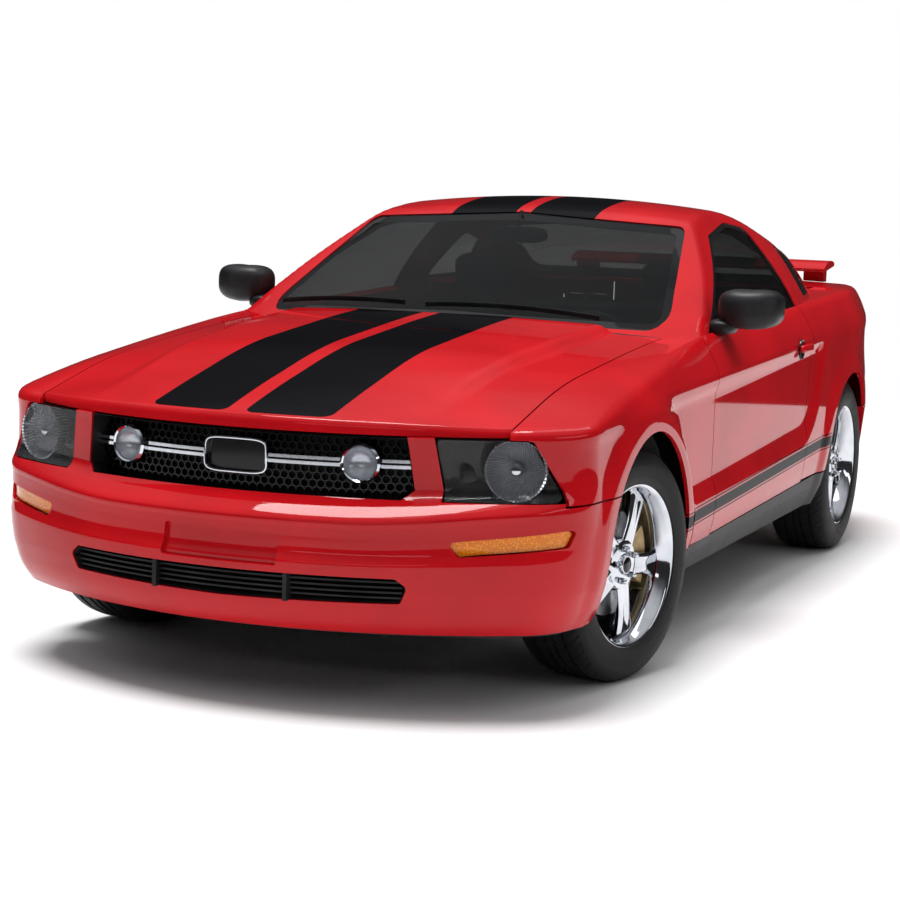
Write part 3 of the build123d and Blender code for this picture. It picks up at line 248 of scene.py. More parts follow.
STRIPE_INNER = 0.028
STRIPE_OUTER = 0.275
STRIPE_CENTRE_X = 0.9825  # centre of the curve of the stripes' front ends
STRIPE_REACH = 1.309
STRIPE_REAR_X = -2.335
STRIPE_CORNER = 0.03
SIDE_STRIPE = (0.436, 0.474)  # height at x = 0
SIDE_STRIPE_RUN = (-0.93, 1.09)
PINSTRIPE = 0.0045
PINSTRIPE_GAP = 0.0055
BELT_SLOPE = tan(radians(2.0))


def paint(name, mask=None):
    """Clear-coated red paint, with an optional mask of black stripes."""
    graph = Graph(name)
    settings = bpy.context.scene.car_body
    red = tuple(settings.red)
    deep = tuple(share * DEEPER for share in red[:3]) + (1.0,)
    base = graph.mix(graph.noise(3.0).rise(0.3, 0.7), red, deep)
    flake = graph.noise(2600.0, 1.0).rise(0.45, 0.75)
    base = graph.mix(flake * 0.12, base, FLAKE_TINT)
    gloss = PAINT_GLOSS
    if mask:
        striped = mask(graph)
        base = graph.mix(striped, base, tuple(settings.stripe))
        gloss = striped * -STRIPE_GLOSS_LOSS + PAINT_GLOSS
    orange_peel = graph.bump(graph.noise(420.0, 1.0), 0.0004, 0.03)
    return graph.surface(
        Base_Color=base,
        Roughness=graph.noise(60.0) * 0.05 + 0.42,
        Specular_IOR_Level=0.0,
        Coat_Weight=gloss,
        Coat_IOR=1.36,
        Coat_Roughness=0.035,
        Normal=orange_peel,
    )


def top_stripes(graph):
    """Twin stripes along the hood, roof and deck, with rounded ends at the nose."""
    across = abs(graph.y)
    band = across.between(STRIPE_INNER, STRIPE_OUTER)
    middle = (STRIPE_INNER + STRIPE_OUTER) / 2
    half = (STRIPE_OUTER - STRIPE_INNER) / 2
    off = abs(across - middle) - (half - STRIPE_CORNER)
    ahead = graph.math("MAXIMUM", graph.x - STRIPE_CENTRE_X, 0.0)
    reach = graph.math("SQRT", ahead * ahead + graph.y * graph.y)
    past = reach - (STRIPE_REACH - STRIPE_CORNER)
    outside = {0: graph.math("MAXIMUM", off, 0.0), 1: graph.math("MAXIMUM", past, 0.0)}
    corner = graph.vector("LENGTH", graph.node("ShaderNodeCombineXYZ", None, outside))
    return band * (corner < STRIPE_CORNER) * (graph.x > STRIPE_REAR_X)


def side_stripes(graph):
    """Low black band along the side, with a thin line above and below it."""
    level = graph.z + graph.x * BELT_SLOPE
    low, high = SIDE_STRIPE
    band = level.between(low, high)
    step = PINSTRIPE + PINSTRIPE_GAP
    upper = level.between(high + PINSTRIPE_GAP, high + step)
    lower = level.between(low - step, low - PINSTRIPE_GAP)
    return (band + upper + lower) * graph.x.between(*SIDE_STRIPE_RUN)


def plain_paint():
    return paint("red_paint")


def striped_paint():
    return paint("striped_paint", top_stripes)


def side_paint():
    return paint("side_paint", side_stripes)


def chrome():
    """Polished chrome with faint handling marks."""
    graph = Graph("chrome")
    return graph.surface(
        Base_Color=graph.tones(graph.noise(14.0).rise(0.35, 0.75), "chrome"),
        Metallic=1.0,
        Roughness=graph.noise(90.0, 4.0) * 0.06 + 0.04,
    )


def moulded_black(name="moulded_black", grain=900.0, rough=0.42):
    """Grained black plastic; grain is in repeats per metre."""
    graph = Graph(name)
    grains = graph.noise(grain, 3.0)
    return graph.surface(
        Base_Color=graph.tones(graph.noise(9.0).rise(0.3, 0.7), "moulded_black"),
        Roughness=grains * 0.12 + rough,
        Specular_IOR_Level=0.2,
        Normal=graph.bump(grains, 0.0006, 0.35),
    )


def gloss_black():
    """Smooth black plastic with a clear coat."""
    graph = Graph("gloss_black")
    return graph.surface(
        Base_Color=graph.tones(graph.noise(6.0), "gloss_black"),
        Roughness=graph.noise(40.0) * 0.08 + 0.20,
        Specular_IOR_Level=0.1,
        Coat_Weight=0.45,
        Coat_Roughness=0.05,
    )


def tyre_rubber():
    """Black rubber with patches of dust, a little rougher where dusty."""
    graph = Graph("tyre_rubber")
    dust = graph.noise(26.0, 4.0).rise(0.45, 0.8)
    fine = graph.noise(1500.0, 2.0)
    return graph.surface(
        Base_Color=graph.tones(dust, "tyre_rubber"),
        Roughness=dust * 0.12 + 0.58,
        Normal=graph.bump(fine, 0.0004, 0.4),
    )


def window_glass():
    """Tinted glass that shows more of the sky the flatter it is seen."""
    graph = Graph("window_glass")
    facing = graph.node("ShaderNodeLayerWeight", None, {"Blend": 0.35}, out="Facing")
    haze = graph.noise(5.0).rise(0.4, 0.9)
    return graph.surface(
        Base_Color=graph.tones(haze, "window_glass"),
        Roughness=haze * 0.02 + 0.01,
        Alpha=facing * 0.45 + WINDOW_TINT,
        Specular_IOR_Level=0.12,
    )


def lamp_glass():
    """Clear polycarbonate lens."""
    graph = Graph("lamp_glass")
    facing = graph.node("ShaderNodeLayerWeight", None, {"Blend": 0.3}, out="Facing")
    return graph.surface(
        Base_Color=(0.10, 0.105, 0.11, 1.0),
        Roughness=graph.noise(30.0) * 0.02 + 0.01,
        Alpha=facing * 0.3 + 0.04,
        Specular_IOR_Level=1.0,
    )


def lens(name):
    """Coloured prismatic lens, amber or red."""
    graph = Graph(name)
    prisms = graph.node("ShaderNodeTexVoronoi", None, {"Vector": graph.point, "Scale": 160.0})
    return graph.surface(
        Base_Color=graph.tones(prisms.rise(0.0, 0.6), name),
        Roughness=prisms * 0.1 + 0.08,
        Specular_IOR_Level=0.2,
        Coat_Weight=0.6,
        Coat_Roughness=0.03,
        Normal=graph.bump(prisms, 0.002, 0.5),
    )


def amber_lens():
    return lens("amber_lens")


def red_lens():
    return lens("red_lens")


def reflector():
    """Bright bowl of a round lamp, and the mirrors' glass."""
    graph = Graph("reflector")
    return graph.surface(
        Base_Color=graph.tones(graph.noise(50.0, 3.0), "reflector"),
        Metallic=0.6,
        Roughness=graph.noise(120.0) * 0.08 + 0.16,
    )


def leather():
    """Black grained leather."""
    graph = Graph("seat_leather")
    grain = graph.node(
        "ShaderNodeTexVoronoi", {"feature": "F1"}, {"Vector": graph.point, "Scale": 700.0}
    )
    worn = graph.noise(12.0, 4.0).rise(0.45, 0.75)
    return graph.surface(
        Base_Color=graph.tones(worn, "seat_leather"),
        Roughness=grain * 0.15 + 0.42,
        Normal=graph.bump(grain, 0.0012, 0.5),
    )


def steel(name, rough, metallic=1.0):
    """Bare or coated metal with a cloudy tone."""
    graph = Graph(name)
    cloud = graph.noise(30.0, 5.0)
    return graph.surface(
        Base_Color=graph.tones(cloud.rise(0.3, 0.7), name),
        Metallic=metallic,
        Roughness=cloud * 0.2 + rough,
        Normal=graph.bump(graph.noise(700.0, 2.0), 0.0004, 0.3),
    )


def underbody_coat():
    """Matt black underseal."""
    return steel("underbody_coat", 0.7, 0.0)


def chassis_steel():
    return steel("chassis_steel", 0.45)


def engine_alloy():
    return steel("engine_alloy", 0.42)


def exhaust_steel():
    return steel("exhaust_steel", 0.28)


def brushed_disc():
    """Bare metal of the brake discs."""
    return steel("brushed_disc", 0.30)


def caliper_gold():
    """Plated brake caliper, tan."""
    return steel("caliper_gold", 0.40, 0.6)


MADE = {}


def finish(maker, *values):
    """The material that a maker makes, made once."""
    key = (maker.__name__, *map(str, values))
    if key not in MADE:
        MADE[key] = maker(*values)
    return MADE[key]


# ---- body shape ---------------------------------------------------------------------
NOSE_X = CAD_BOX[1].x
TAIL_X = CAD_BOX[0].x
SEAM_Y = 0.735  # between hood and fender
GAP = 0.005  # between panels
HALF_WIDTH = 0.922
NOSE_RADIUS = 1.4
NOSE_CORNER = 0.3
SWEEP_X = -1.35  # where the side begins to sweep in
SWEEP_RADIUS = 2.2
TAIL_CORNER = 0.21
TAIL_RADIUS = 2.5
WHEEL_Z = 0.346
FRONT_AXLE_X = next(j for j in frame["joints"] if j["name"] == "left_steer")["pos_m"][0]
REAR_AXLE_X = sum(corner.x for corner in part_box("rear_left_tyre")) / 2
FRONT_ARCH = 0.396
REAR_ARCH = 0.382
FLARE = 0.014
SHOULDER = 0.857  # height of the shoulder crease at x = 0
ROCKER = 0.500  # height of the lower crease at x = 0
SCALLOP = 0.020
# How far from an arch's edge its lip fades, and the side's hollow begins.
FRONT_LIP_FADE = (0.040, 0.125)
REAR_LIP_FADE = (0.036, 0.120)
FRONT_CLEAR = (0.046, 0.100)
REAR_CLEAR = (0.046, 0.090)
HOLLOW_REAR = (-0.745, 0.669)  # where the door's hollow ends, at a height
HOLLOW_LEAN = 0.36
HOLLOW_CORNER = 0.20
FORE_SHARE = 0.40  # depth of the hollows ahead of and behind the wheels
AFT_SHARE = 0.45
FORE_DROP = 0.010
FORE_FADE = (0.08, 0.22)
FORE_END = (1.96, 2.10)
AFT_FADE = (0.08, 0.24)
SHOULDER_EASE = 0.034
HOLLOW_EASE = 0.050
END_EASE = 0.03
RAKE_HEIGHTS = (0.205, 0.300, 0.500)
RAKE_SHARES = (0.0, 0.3, 1.0)
LIFT_ACROSS = (0.35, 0.90)  # where the bumper's creases climb: across, from and up to
LIFT_FROM = (0.38, 0.50)
LIFT_TO = (0.55, 0.68)
EDGE_LIMIT = 1.6
DECK_SWELL = (1.7, 2.1)
SHOULDER_RANGE = (0.70, 1.09)
RAIL_RANGE = (0.90, 1.45)
NOSE_START = 1.7
TAIL_START = 1.9

# How far the side stands in from its widest, by height at x = 0.
SIDE_PROFILE = (
    (0.205, 0.076), (0.232, 0.062), (0.300, 0.029), (0.380, 0.010), (0.450, 0.002),
    (0.500, 0.0), (0.857, 0.0), (0.930, 0.030), (1.000, 0.072), (1.070, 0.142),
)
# How far the nose and the tail stand in from the car's ends, by height.
NOSE_PROFILE = (
    (0.205, 0.100), (0.232, 0.072), (0.262, 0.044), (0.300, 0.024), (0.360, 0.008), (0.425, 0.0),
    (0.434, 0.001), (0.448, 0.013), (0.500, 0.015), (0.528, 0.011), (0.540, 0.0), (0.548, 0.002),
    (0.575, 0.034), (0.600, 0.074), (0.617, 0.088), (0.753, 0.076), (0.774, 0.070), (0.900, 0.060),
)
TAIL_PROFILE = (
    (0.205, 0.052), (0.300, 0.018), (0.500, 0.004), (0.600, 0.0), (0.690, 0.0), (0.712, 0.010),
    (0.735, 0.058), (0.800, 0.062), (0.920, 0.070), (1.000, 0.062), (1.100, 0.060),
)
# Upper surface, by station: on the centre line, at the hood seam and beyond the side.
HOOD_TOP = (
    # x, z_centre, z_seam, z_edge
    (0.40, 1.020, 0.985, 0.968), (0.735, 1.008, 0.968, 0.950), (1.07, 0.988, 0.947, 0.898),
    (1.72, 0.925, 0.887, 0.806), (2.16, 0.852, 0.777, 0.742), (2.42, 0.772, 0.722, 0.690),
)
DECK_TOP = (
    (-2.42, 1.045, 1.010, 0.952), (-2.25, 1.064, 1.046, 1.002), (-1.69, 1.060, 1.0589, 1.058),
    (0.90, 0.9686, 0.9686, 0.9686),
)
SWELL = 0.011
BULGE = 0.025  # raised middle of the hood
BUMPER_LIFT = 0.034
EDGE_REACH = 0.24  # from the hood seam to beyond the side
COWL_X = 0.66  # where the hood's surface gives way to the deck's
BODY_REACH = 0.024  # over which the shoulder is rounded
RAIL_REACH = 0.022  # over which the cab's rail is rounded

# Cab, by level: height at x = 0, rake, half width, ends on the centre line.
CAB_LEVELS = (
    # z, rake, half_width, front_x, rear_x
    (1.000, 2.0, 0.842, 0.905, -1.690),
    (1.165, 1.0, 0.742, 0.520, -1.330),
    (1.317, 0.0, 0.617, 0.185, -0.850),
    (1.430, 0.0, 0.524, -0.071, -0.505),
)
SCREEN_RADIUS = 1.65
REAR_SCREEN_RADIUS = 6.0
CAB_SWEEP_RADIUS = 2.5
CAB_SWEEP_X = -0.58
ROOF_Z = CAD_BOX[1].z
CROWN_X = -0.32
CROWN_RADIUS = 1.8
CROWN_CROSS_RADIUS = 4.5
CROWN_REACH = 0.43
GLASS_TOP = 1.317
GLASS_HEIGHT = 0.317  # from the belt line to the top of the glass
BELT_LEAN = (CAB_LEVELS[0][2] - CAB_LEVELS[1][2]) / 0.165
SCREEN_REACH = 0.045  # over which windscreen, roof and rear window are rounded
# How steeply the windscreen and the rear window run on past their ends.
SCREEN_FOOT_SLOPE, SCREEN_HEAD_SLOPE = 0.45, 0.44
REAR_FOOT_SLOPE, REAR_HEAD_SLOPE = 0.36, 0.33


def rise(x, low, high):
    """0 below low, 1 above high, smooth between, for arrays."""
    t = np.clip((x - low) / (high - low), 0.0, 1.0)
    return t * t * (3 - 2 * t)


def ease(x, width):
    """Crease profile: climbs from 0 at once and levels off at 1 after a width."""
    t = np.clip(x / width, 0.0, 1.0)
    return 1 - (1 - t) ** 2


def column(table, at, which=1):
    """A table's column at some stations, in straight runs."""
    rows = sorted(table)
    return np.interp(at, [row[0] for row in rows], [row[which] for row in rows])


def eased_column(table, at, which, reach=0.14):
    """A table's column with its corners rounded over a reach."""
    steps = np.linspace(-reach, reach, 7)
    return sum(column(table, at + step, which) for step in steps) / len(steps)


def solve(falling, low, high):
    """Where a falling function crosses zero, for arrays, by halving."""
    low, high = np.array(low, float), np.array(high, float)
    for _ in range(26):
        middle = (low + high) / 2
        above = falling(middle) > 0
        low, high = np.where(above, middle, low), np.where(above, high, middle)
    return (low + high) / 2


def meeting(centre_a, radius_a, centre_b, radius_b):
    """The meeting point of two circles that lies farther to the left of the car."""
    dx, dy = centre_b[0] - centre_a[0], centre_b[1] - centre_a[1]
    apart = hypot(dx, dy)
    along = (apart**2 + radius_a**2 - radius_b**2) / (2 * apart)
    across = sqrt(radius_a**2 - along**2)
    found = [
        (
            centre_a[0] + (along * dx - side * across * dy) / apart,
            centre_a[1] + (along * dy + side * across * dx) / apart,
        )
        for side in (1, -1)
    ]
    return max(found, key=lambda point: point[1])


NOSE_CENTRE = (NOSE_X - NOSE_RADIUS, 0.0)
CORNER_CENTRE = (
    NOSE_CENTRE[0] + sqrt((NOSE_RADIUS - NOSE_CORNER) ** 2 - (HALF_WIDTH - NOSE_CORNER) ** 2),
    HALF_WIDTH - NOSE_CORNER,
)
NOSE_ANGLE = atan2(CORNER_CENTRE[1], CORNER_CENTRE[0] - NOSE_CENTRE[0])
CORNER_RUN = NOSE_CORNER * (pi / 2 - NOSE_ANGLE)
FRONT_U = CORNER_CENTRE[0] + CORNER_RUN + NOSE_RADIUS * NOSE_ANGLE  # middle of the nose
SWEEP_CENTRE = (SWEEP_X, HALF_WIDTH - SWEEP_RADIUS)
TAIL_CENTRE = (TAIL_X + TAIL_RADIUS, 0.0)
TAIL_CORNER_CENTRE = meeting(
    SWEEP_CENTRE, SWEEP_RADIUS - TAIL_CORNER, TAIL_CENTRE, TAIL_RADIUS - TAIL_CORNER
)
SWEEP_ANGLE = atan2(
    TAIL_CORNER_CENTRE[1] - SWEEP_CENTRE[1], TAIL_CORNER_CENTRE[0] - SWEEP_CENTRE[0]
)
TAIL_ANGLE = atan2(
    TAIL_CORNER_CENTRE[1] - TAIL_CENTRE[1], TAIL_CORNER_CENTRE[0] - TAIL_CENTRE[0]
)
SWEEP_RUN = SWEEP_RADIUS * (SWEEP_ANGLE - pi / 2)
TAIL_CORNER_RUN = TAIL_CORNER * (TAIL_ANGLE - SWEEP_ANGLE)
REAR_U = SWEEP_X - SWEEP_RUN - TAIL_CORNER_RUN - TAIL_RADIUS * (pi - TAIL_ANGLE)


def plan(u):
    """The widest outline, left half: x, y and outward direction at a run along it."""
    ahead = u - CORNER_CENTRE[0]
    behind = SWEEP_X - u
    zones = [
        ahead > CORNER_RUN,
        ahead > 0,
        behind > SWEEP_RUN + TAIL_CORNER_RUN,
        behind > SWEEP_RUN,
        behind > 0,
    ]
    angle = np.select(
        zones,
        [
            NOSE_ANGLE - (ahead - CORNER_RUN) / NOSE_RADIUS,
            pi / 2 - ahead / NOSE_CORNER,
            TAIL_ANGLE + (behind - SWEEP_RUN - TAIL_CORNER_RUN) / TAIL_RADIUS,
            SWEEP_ANGLE + (behind - SWEEP_RUN) / TAIL_CORNER,
            pi / 2 + behind / SWEEP_RADIUS,
        ],
        pi / 2,
    )
    arcs = (
        (NOSE_CENTRE, NOSE_RADIUS),
        (CORNER_CENTRE, NOSE_CORNER),
        (TAIL_CENTRE, TAIL_RADIUS),
        (TAIL_CORNER_CENTRE, TAIL_CORNER),
        (SWEEP_CENTRE, SWEEP_RADIUS),
    )
    nx, ny = np.cos(angle), np.sin(angle)
    x = np.select(zones, [centre[0] + radius * nx for centre, radius in arcs], u)
    y = np.select(zones, [centre[1] + radius * ny for centre, radius in arcs], HALF_WIDTH)
    straight = ~np.any(zones, axis=0)
    return x, y, np.where(straight, 0.0, nx), np.where(straight, 1.0, ny)


def relief(x, z, level):
    """What stands out of the smooth side: arch lips, and the scallops between creases."""
    front = np.hypot(x - FRONT_AXLE_X, z - WHEEL_Z) - FRONT_ARCH
    rear = np.hypot(x - REAR_AXLE_X, z - WHEEL_Z) - REAR_ARCH
    flare = FLARE * (2 - rise(front, *FRONT_LIP_FADE) - rise(rear, *REAR_LIP_FADE))
    below = SHOULDER - level
    clear = rise(front, *FRONT_CLEAR) * rise(rear, *REAR_CLEAR)
    over = level - ROCKER
    ahead = x - HOLLOW_REAR[0] + (z - HOLLOW_REAR[1]) * HOLLOW_LEAN
    corner = HOLLOW_CORNER - np.hypot(
        np.maximum(HOLLOW_CORNER - over, 0.0), np.maximum(HOLLOW_CORNER - ahead, 0.0)
    )
    between = (x < FRONT_AXLE_X) & (x > REAR_AXLE_X)
    door = np.where(between, ease(below, SHOULDER_EASE) * ease(corner, HOLLOW_EASE), 0.0)
    fore = ease(below - FORE_DROP, END_EASE) * (1 - rise(below, *FORE_FADE)) * (1 - rise(x, *FORE_END))
    fore = np.where(x > FRONT_AXLE_X, FORE_SHARE * fore, 0.0)
    aft = ease(below, END_EASE) * (1 - rise(below, *AFT_FADE))
    aft = np.where(x < REAR_AXLE_X, AFT_SHARE * aft, 0.0)
    return flare - SCALLOP * clear * (door + fore + aft)


def rake_share(z):
    """How much of the belt line's rake a height takes."""
    return np.interp(z, RAKE_HEIGHTS, RAKE_SHARES)


def height_of(level, x):
    """Height at a station of a line that has the given height at x = 0."""
    z = level
    for _ in range(3):
        z = level - x * BELT_SLOPE * rake_share(z)
    return z


def bumper_lift(v, y):
    """How far the bumper's creases climb towards its ends."""
    return BUMPER_LIFT * rise(y, *LIFT_ACROSS) * rise(v, *LIFT_FROM) * (1 - rise(v, *LIFT_TO))


def side_at(u, z):
    """A point of the side, nose or tail at a height above the ground."""
    x, y, nx, ny = plan(u)
    level = z + x * BELT_SLOPE * rake_share(z)
    v = z
    for _ in range(3):
        v = z - bumper_lift(v, y)
    end = np.where(nx > 0, column(NOSE_PROFILE, v), column(TAIL_PROFILE, z))
    depth = column(SIDE_PROFILE, level) * ny**2 + end * nx**2 - relief(x, z, level) * ny**2
    return np.stack([x - nx * depth, y - ny * depth, z + 0 * x], axis=-1)


def side_point(u, level):
    """A point of the side by its level, the height that its line has at x = 0."""
    return side_at(u, height_of(level, plan(u)[0]))


def bumper_point(u, v):
    """A point of the front bumper, in rows along its creases."""
    return side_at(u, v + bumper_lift(v, plan(u)[1]))


def top_height(x, y):
    """Height of hood, waist and deck."""
    y = np.abs(y)
    out = np.clip((y - SEAM_Y) / EDGE_REACH, 0.0, EDGE_LIMIT)
    found = []
    for table in (HOOD_TOP, DECK_TOP):
        centre, seam, edge = (eased_column(table, x, which) for which in (1, 2, 3))
        inner = centre - (centre - seam) * np.minimum(y / SEAM_Y, 1.0) ** 2
        found.append(inner - (seam - edge) * out)
    swell = SWELL * 4 * np.clip(out * (1 - out), 0.0, 1.0)
    return np.where(x > COWL_X, found[0] + swell, found[1] + swell * rise(-x, *DECK_SWELL))


def shoulder_level(u):
    """The height at x = 0 where the side meets the upper surface."""

    def side_below_top(level):
        point = side_point(u, level)
        return top_height(point[..., 0], point[..., 1]) - point[..., 2]

    low, high = (np.full_like(u, level) for level in SHOULDER_RANGE)
    return solve(side_below_top, low, high)


U_STEPS = np.linspace(REAR_U, FRONT_U, 3000)
CORNER_LEVELS = shoulder_level(U_STEPS)


def body_point(u, w):
    """Up the side to the shoulder, then inward over the top: w is height, then run."""
    corner = np.interp(u, U_STEPS, CORNER_LEVELS)
    point = side_point(u, np.minimum(w, corner))
    _, _, nx, ny = plan(u)
    over = np.maximum(w - corner, 0.0)
    x = point[..., 0] - nx * over
    y = point[..., 1] - ny * over
    z = np.where(over > 0, top_height(x, y), point[..., 2])
    return np.stack([x, y, z], axis=-1)


def run_to(u, y):
    """The run w at which body_point's upper part reaches a distance y from the middle."""
    corner = np.interp(u, U_STEPS, CORNER_LEVELS)
    point = side_point(u, corner)
    _, _, _, ny = plan(u)
    return corner + (point[..., 1] - y) / np.maximum(ny, 0.05)


def eased(surface, reach, u, w):
    """A surface with its corners across w rounded over a reach."""
    steps = np.linspace(-reach, reach, 7)
    return sum(surface(u, w + step) for step in steps) / len(steps)


def u_at(y, z):
    """The run along the outline where the nose reaches a distance y, at height z."""
    y, z = np.broadcast_arrays(np.asarray(y, float), np.asarray(z, float))
    start, end = np.full(y.shape, NOSE_START), np.full(y.shape, FRONT_U)
    return solve(lambda u: side_at(u, z)[..., 1] - y, start, end)


def u_behind(y, z):
    """The run along the outline where the tail reaches a distance y, at height z."""
    y, z = np.broadcast_arrays(np.asarray(y, float), np.asarray(z, float))
    start, end = np.full(y.shape, TAIL_START), np.full(y.shape, -REAR_U)
    return -solve(lambda u: side_at(-u, z)[..., 1] - y, start, end)


def level_at(u, z):
    """The level of a height at a run along the outline."""
    return z + plan(np.asarray(u, float))[0] * BELT_SLOPE * rake_share(z)


# ---- cab shape ----------------------------------------------------------------------
def cab_half_width(x, z):
    """The cab's side at a station and height."""
    share = np.clip((GLASS_TOP - z) / GLASS_HEIGHT, 0.0, 1.0)
    level = z + x * BELT_SLOPE * share
    heights = [row[0] for row in CAB_LEVELS]
    widths = [row[2] for row in CAB_LEVELS]
    steps = np.linspace(-0.05, 0.05, 5)
    width = sum(np.interp(level + step, heights, widths) for step in steps) / len(steps)
    width = width + BELT_LEAN * np.maximum(1.0 - level, 0.0)
    back = np.clip(CAB_SWEEP_X - x, 0.0, 2.0)
    return width - (CAB_SWEEP_RADIUS - np.sqrt(CAB_SWEEP_RADIUS**2 - back**2))


def screen_line(front):
    """Stations and heights of the windscreen or rear window on the centre line."""
    which = 3 if front else 4
    line = [(row[which], row[0] - row[which] * tan(radians(row[1]))) for row in CAB_LEVELS]
    return sorted(line)


def cab_height(x, y):
    """Height of windscreen, roof and rear window, rounded where they meet."""
    found = 0.0
    steps = np.linspace(-SCREEN_REACH, SCREEN_REACH, 7)
    front_line, rear_line = screen_line(True), screen_line(False)
    for step in steps:
        at = x + step
        front_at = at + SCREEN_RADIUS - np.sqrt(SCREEN_RADIUS**2 - y**2)
        rear_at = at - REAR_SCREEN_RADIUS + np.sqrt(REAR_SCREEN_RADIUS**2 - y**2)
        front = np.interp(front_at, *zip(*front_line))
        front = front - SCREEN_FOOT_SLOPE * np.maximum(front_at - front_line[-1][0], 0.0)
        front = front + SCREEN_HEAD_SLOPE * np.maximum(front_line[0][0] - front_at, 0.0)
        rear = np.interp(rear_at, *zip(*rear_line))
        rear = rear - REAR_FOOT_SLOPE * np.maximum(rear_line[0][0] - rear_at, 0.0)
        rear = rear + REAR_HEAD_SLOPE * np.maximum(rear_at - rear_line[-1][0], 0.0)
        off = np.abs(at - CROWN_X)
        inside = np.minimum(off, CROWN_REACH)
        slope = CROWN_REACH / sqrt(CROWN_RADIUS**2 - CROWN_REACH**2)
        crown = ROOF_Z - CROWN_RADIUS + np.sqrt(CROWN_RADIUS**2 - inside**2)
        crown = crown - slope * np.maximum(off - CROWN_REACH, 0.0)
        crown = crown - CROWN_CROSS_RADIUS + np.sqrt(CROWN_CROSS_RADIUS**2 - y**2)
        found = found + np.minimum(np.minimum(front, rear), crown)
    return found / len(steps)


def rail_height(x):
    """Height where the cab's side meets its upper surface."""

    def side_below_top(z):
        return cab_height(x, cab_half_width(x, z)) - z

    low, high = (np.full_like(x, height) for height in RAIL_RANGE)
    return solve(side_below_top, low, high)


CAB_STEPS = np.linspace(-1.9, 1.1, 1500)
RAILS = rail_height(CAB_STEPS)


def cab_point(x, w):
    """Up the cab's side to the rail, then inward over the roof: w is height, then run."""
    rail = np.interp(x, CAB_STEPS, RAILS)
    z = np.minimum(w, rail)
    over = np.maximum(w - rail, 0.0)
    y = cab_half_width(x, z) - over
    return np.stack([x, y, np.where(over > 0, cab_height(x, y), z)], axis=-1)


def cab_run(x, y):
    """The run w at which cab_point's upper part reaches a distance y from the middle."""
    rail = np.interp(x, CAB_STEPS, RAILS)
    return rail + cab_half_width(x, rail) - y


def soft_cab(x, w):
    """The cab's surface with its rail rounded."""
    return eased(cab_point, RAIL_REACH, x, w)


# ---- mesh work ----------------------------------------------------------------------
CAR_MIDDLE = np.array((0.0, 0.0, 0.6))
EDGE_STEP = 0.03
WIDE_CELL = 0.018  # of sheets with little shape
TRIM_CELL = 0.02


def add_piece(name, bm, body, material, replaces=(), normals=None):
    """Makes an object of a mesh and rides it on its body."""
    mesh = bpy.data.meshes.new(name)
    bm.to_mesh(mesh)
    bm.free()
    mesh.materials.append(material)
    mesh.polygons.foreach_set("use_smooth", [True] * len(mesh.polygons))
    mesh.set_sharp_from_angle(angle=radians(38))
    if normals is not None:
        mesh.normals_split_custom_set(normals)
    piece = bpy.data.objects.new(name, mesh)
    bpy.context.scene.collection.objects.link(piece)
    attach(piece, body)
    if replaces:
        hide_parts(*replaces)
    return piece


def whole_of(bm):
    """Every vertex, edge and face of a mesh."""
    return list(bm.verts) + list(bm.edges) + list(bm.faces)


def verts_in(geom):
    """The vertices among some geometry."""
    return [item for item in geom if isinstance(item, bmesh.types.BMVert)]


def faces_in(geom):
    """The faces among some geometry."""
    return [item for item in geom if isinstance(item, bmesh.types.BMFace)]


def extruded(bm):
    """Extrudes a whole sheet in place and keeps it: the new geometry."""
    return bmesh.ops.extrude_face_region(bm, geom=list(bm.faces), use_keep_orig=True)["geom"]


def thickened(bm, step):
    """A sheet made solid by a copy of it moved by a step."""
    bmesh.ops.translate(bm, vec=step, verts=verts_in(extruded(bm)))
    bmesh.ops.recalc_face_normals(bm, faces=bm.faces)
    return bm


def on_side(bm, side):
    """A part of the car's left side, or its mirror image for side -1."""
    if side < 0:
        for vert in bm.verts:
            vert.co.y = -vert.co.y
        bmesh.ops.recalc_face_normals(bm, faces=bm.faces)
    return bm


def inside(points, outline):
    """Which points lie inside a closed outline."""
    x, y = points[:, 0], points[:, 1]
    found = np.zeros(len(points), bool)
    for (x0, y0), (x1, y1) in zip(outline, np.roll(outline, -1, axis=0)):
        crosses = (y0 > y) != (y1 > y)
        if y0 != y1:
            found ^= crosses & (x < (x1 - x0) * (y - y0) / (y1 - y0) + x0)
    return found


def cut_along(bm, outline, cell):
    """Cuts a flat sheet along an outline, near its edges only."""
    centres = np.array([face.calc_center_median()[:2] for face in bm.faces])
    dense = line(list(outline) + [outline[0]], cell)
    close = np.zeros(len(centres), bool)
    for place in dense:
        close |= np.max(np.abs(centres - place), axis=1) < 1.7 * cell
    pool = {face for face, keep in zip(bm.faces, close) if keep}
    for start, end in zip(outline, np.roll(outline, -1, axis=0)):
        if np.hypot(*(end - start)) < 1e-6:
            continue
        low, high = np.minimum(start, end) - 1e-4, np.maximum(start, end) + 1e-4
        near = []
        for face in pool:
            xs = [vert.co.x for vert in face.verts]
            ys = [vert.co.y for vert in face.verts]
            if min(xs) < high[0] and max(xs) > low[0] and min(ys) < high[1] and max(ys) > low[1]:
                near.append(face)
        if not near:
            continue
        near.sort(key=lambda face: face.index)
        edges = sorted({edge for face in near for edge in face.edges}, key=lambda edge: edge.index)
        verts = sorted({vert for face in near for vert in face.verts}, key=lambda vert: vert.index)
        across = (start[1] - end[1], end[0] - start[0], 0)
        cut = bmesh.ops.bisect_plane(
            bm,
            geom=near + edges + verts,
            dist=1e-6,
            plane_co=(start[0], start[1], 0),
            plane_no=across,
        )
        pool.update(faces_in(cut["geom"]))
        bm.faces.index_update()
        bm.edges.index_update()
        bm.verts.index_update()


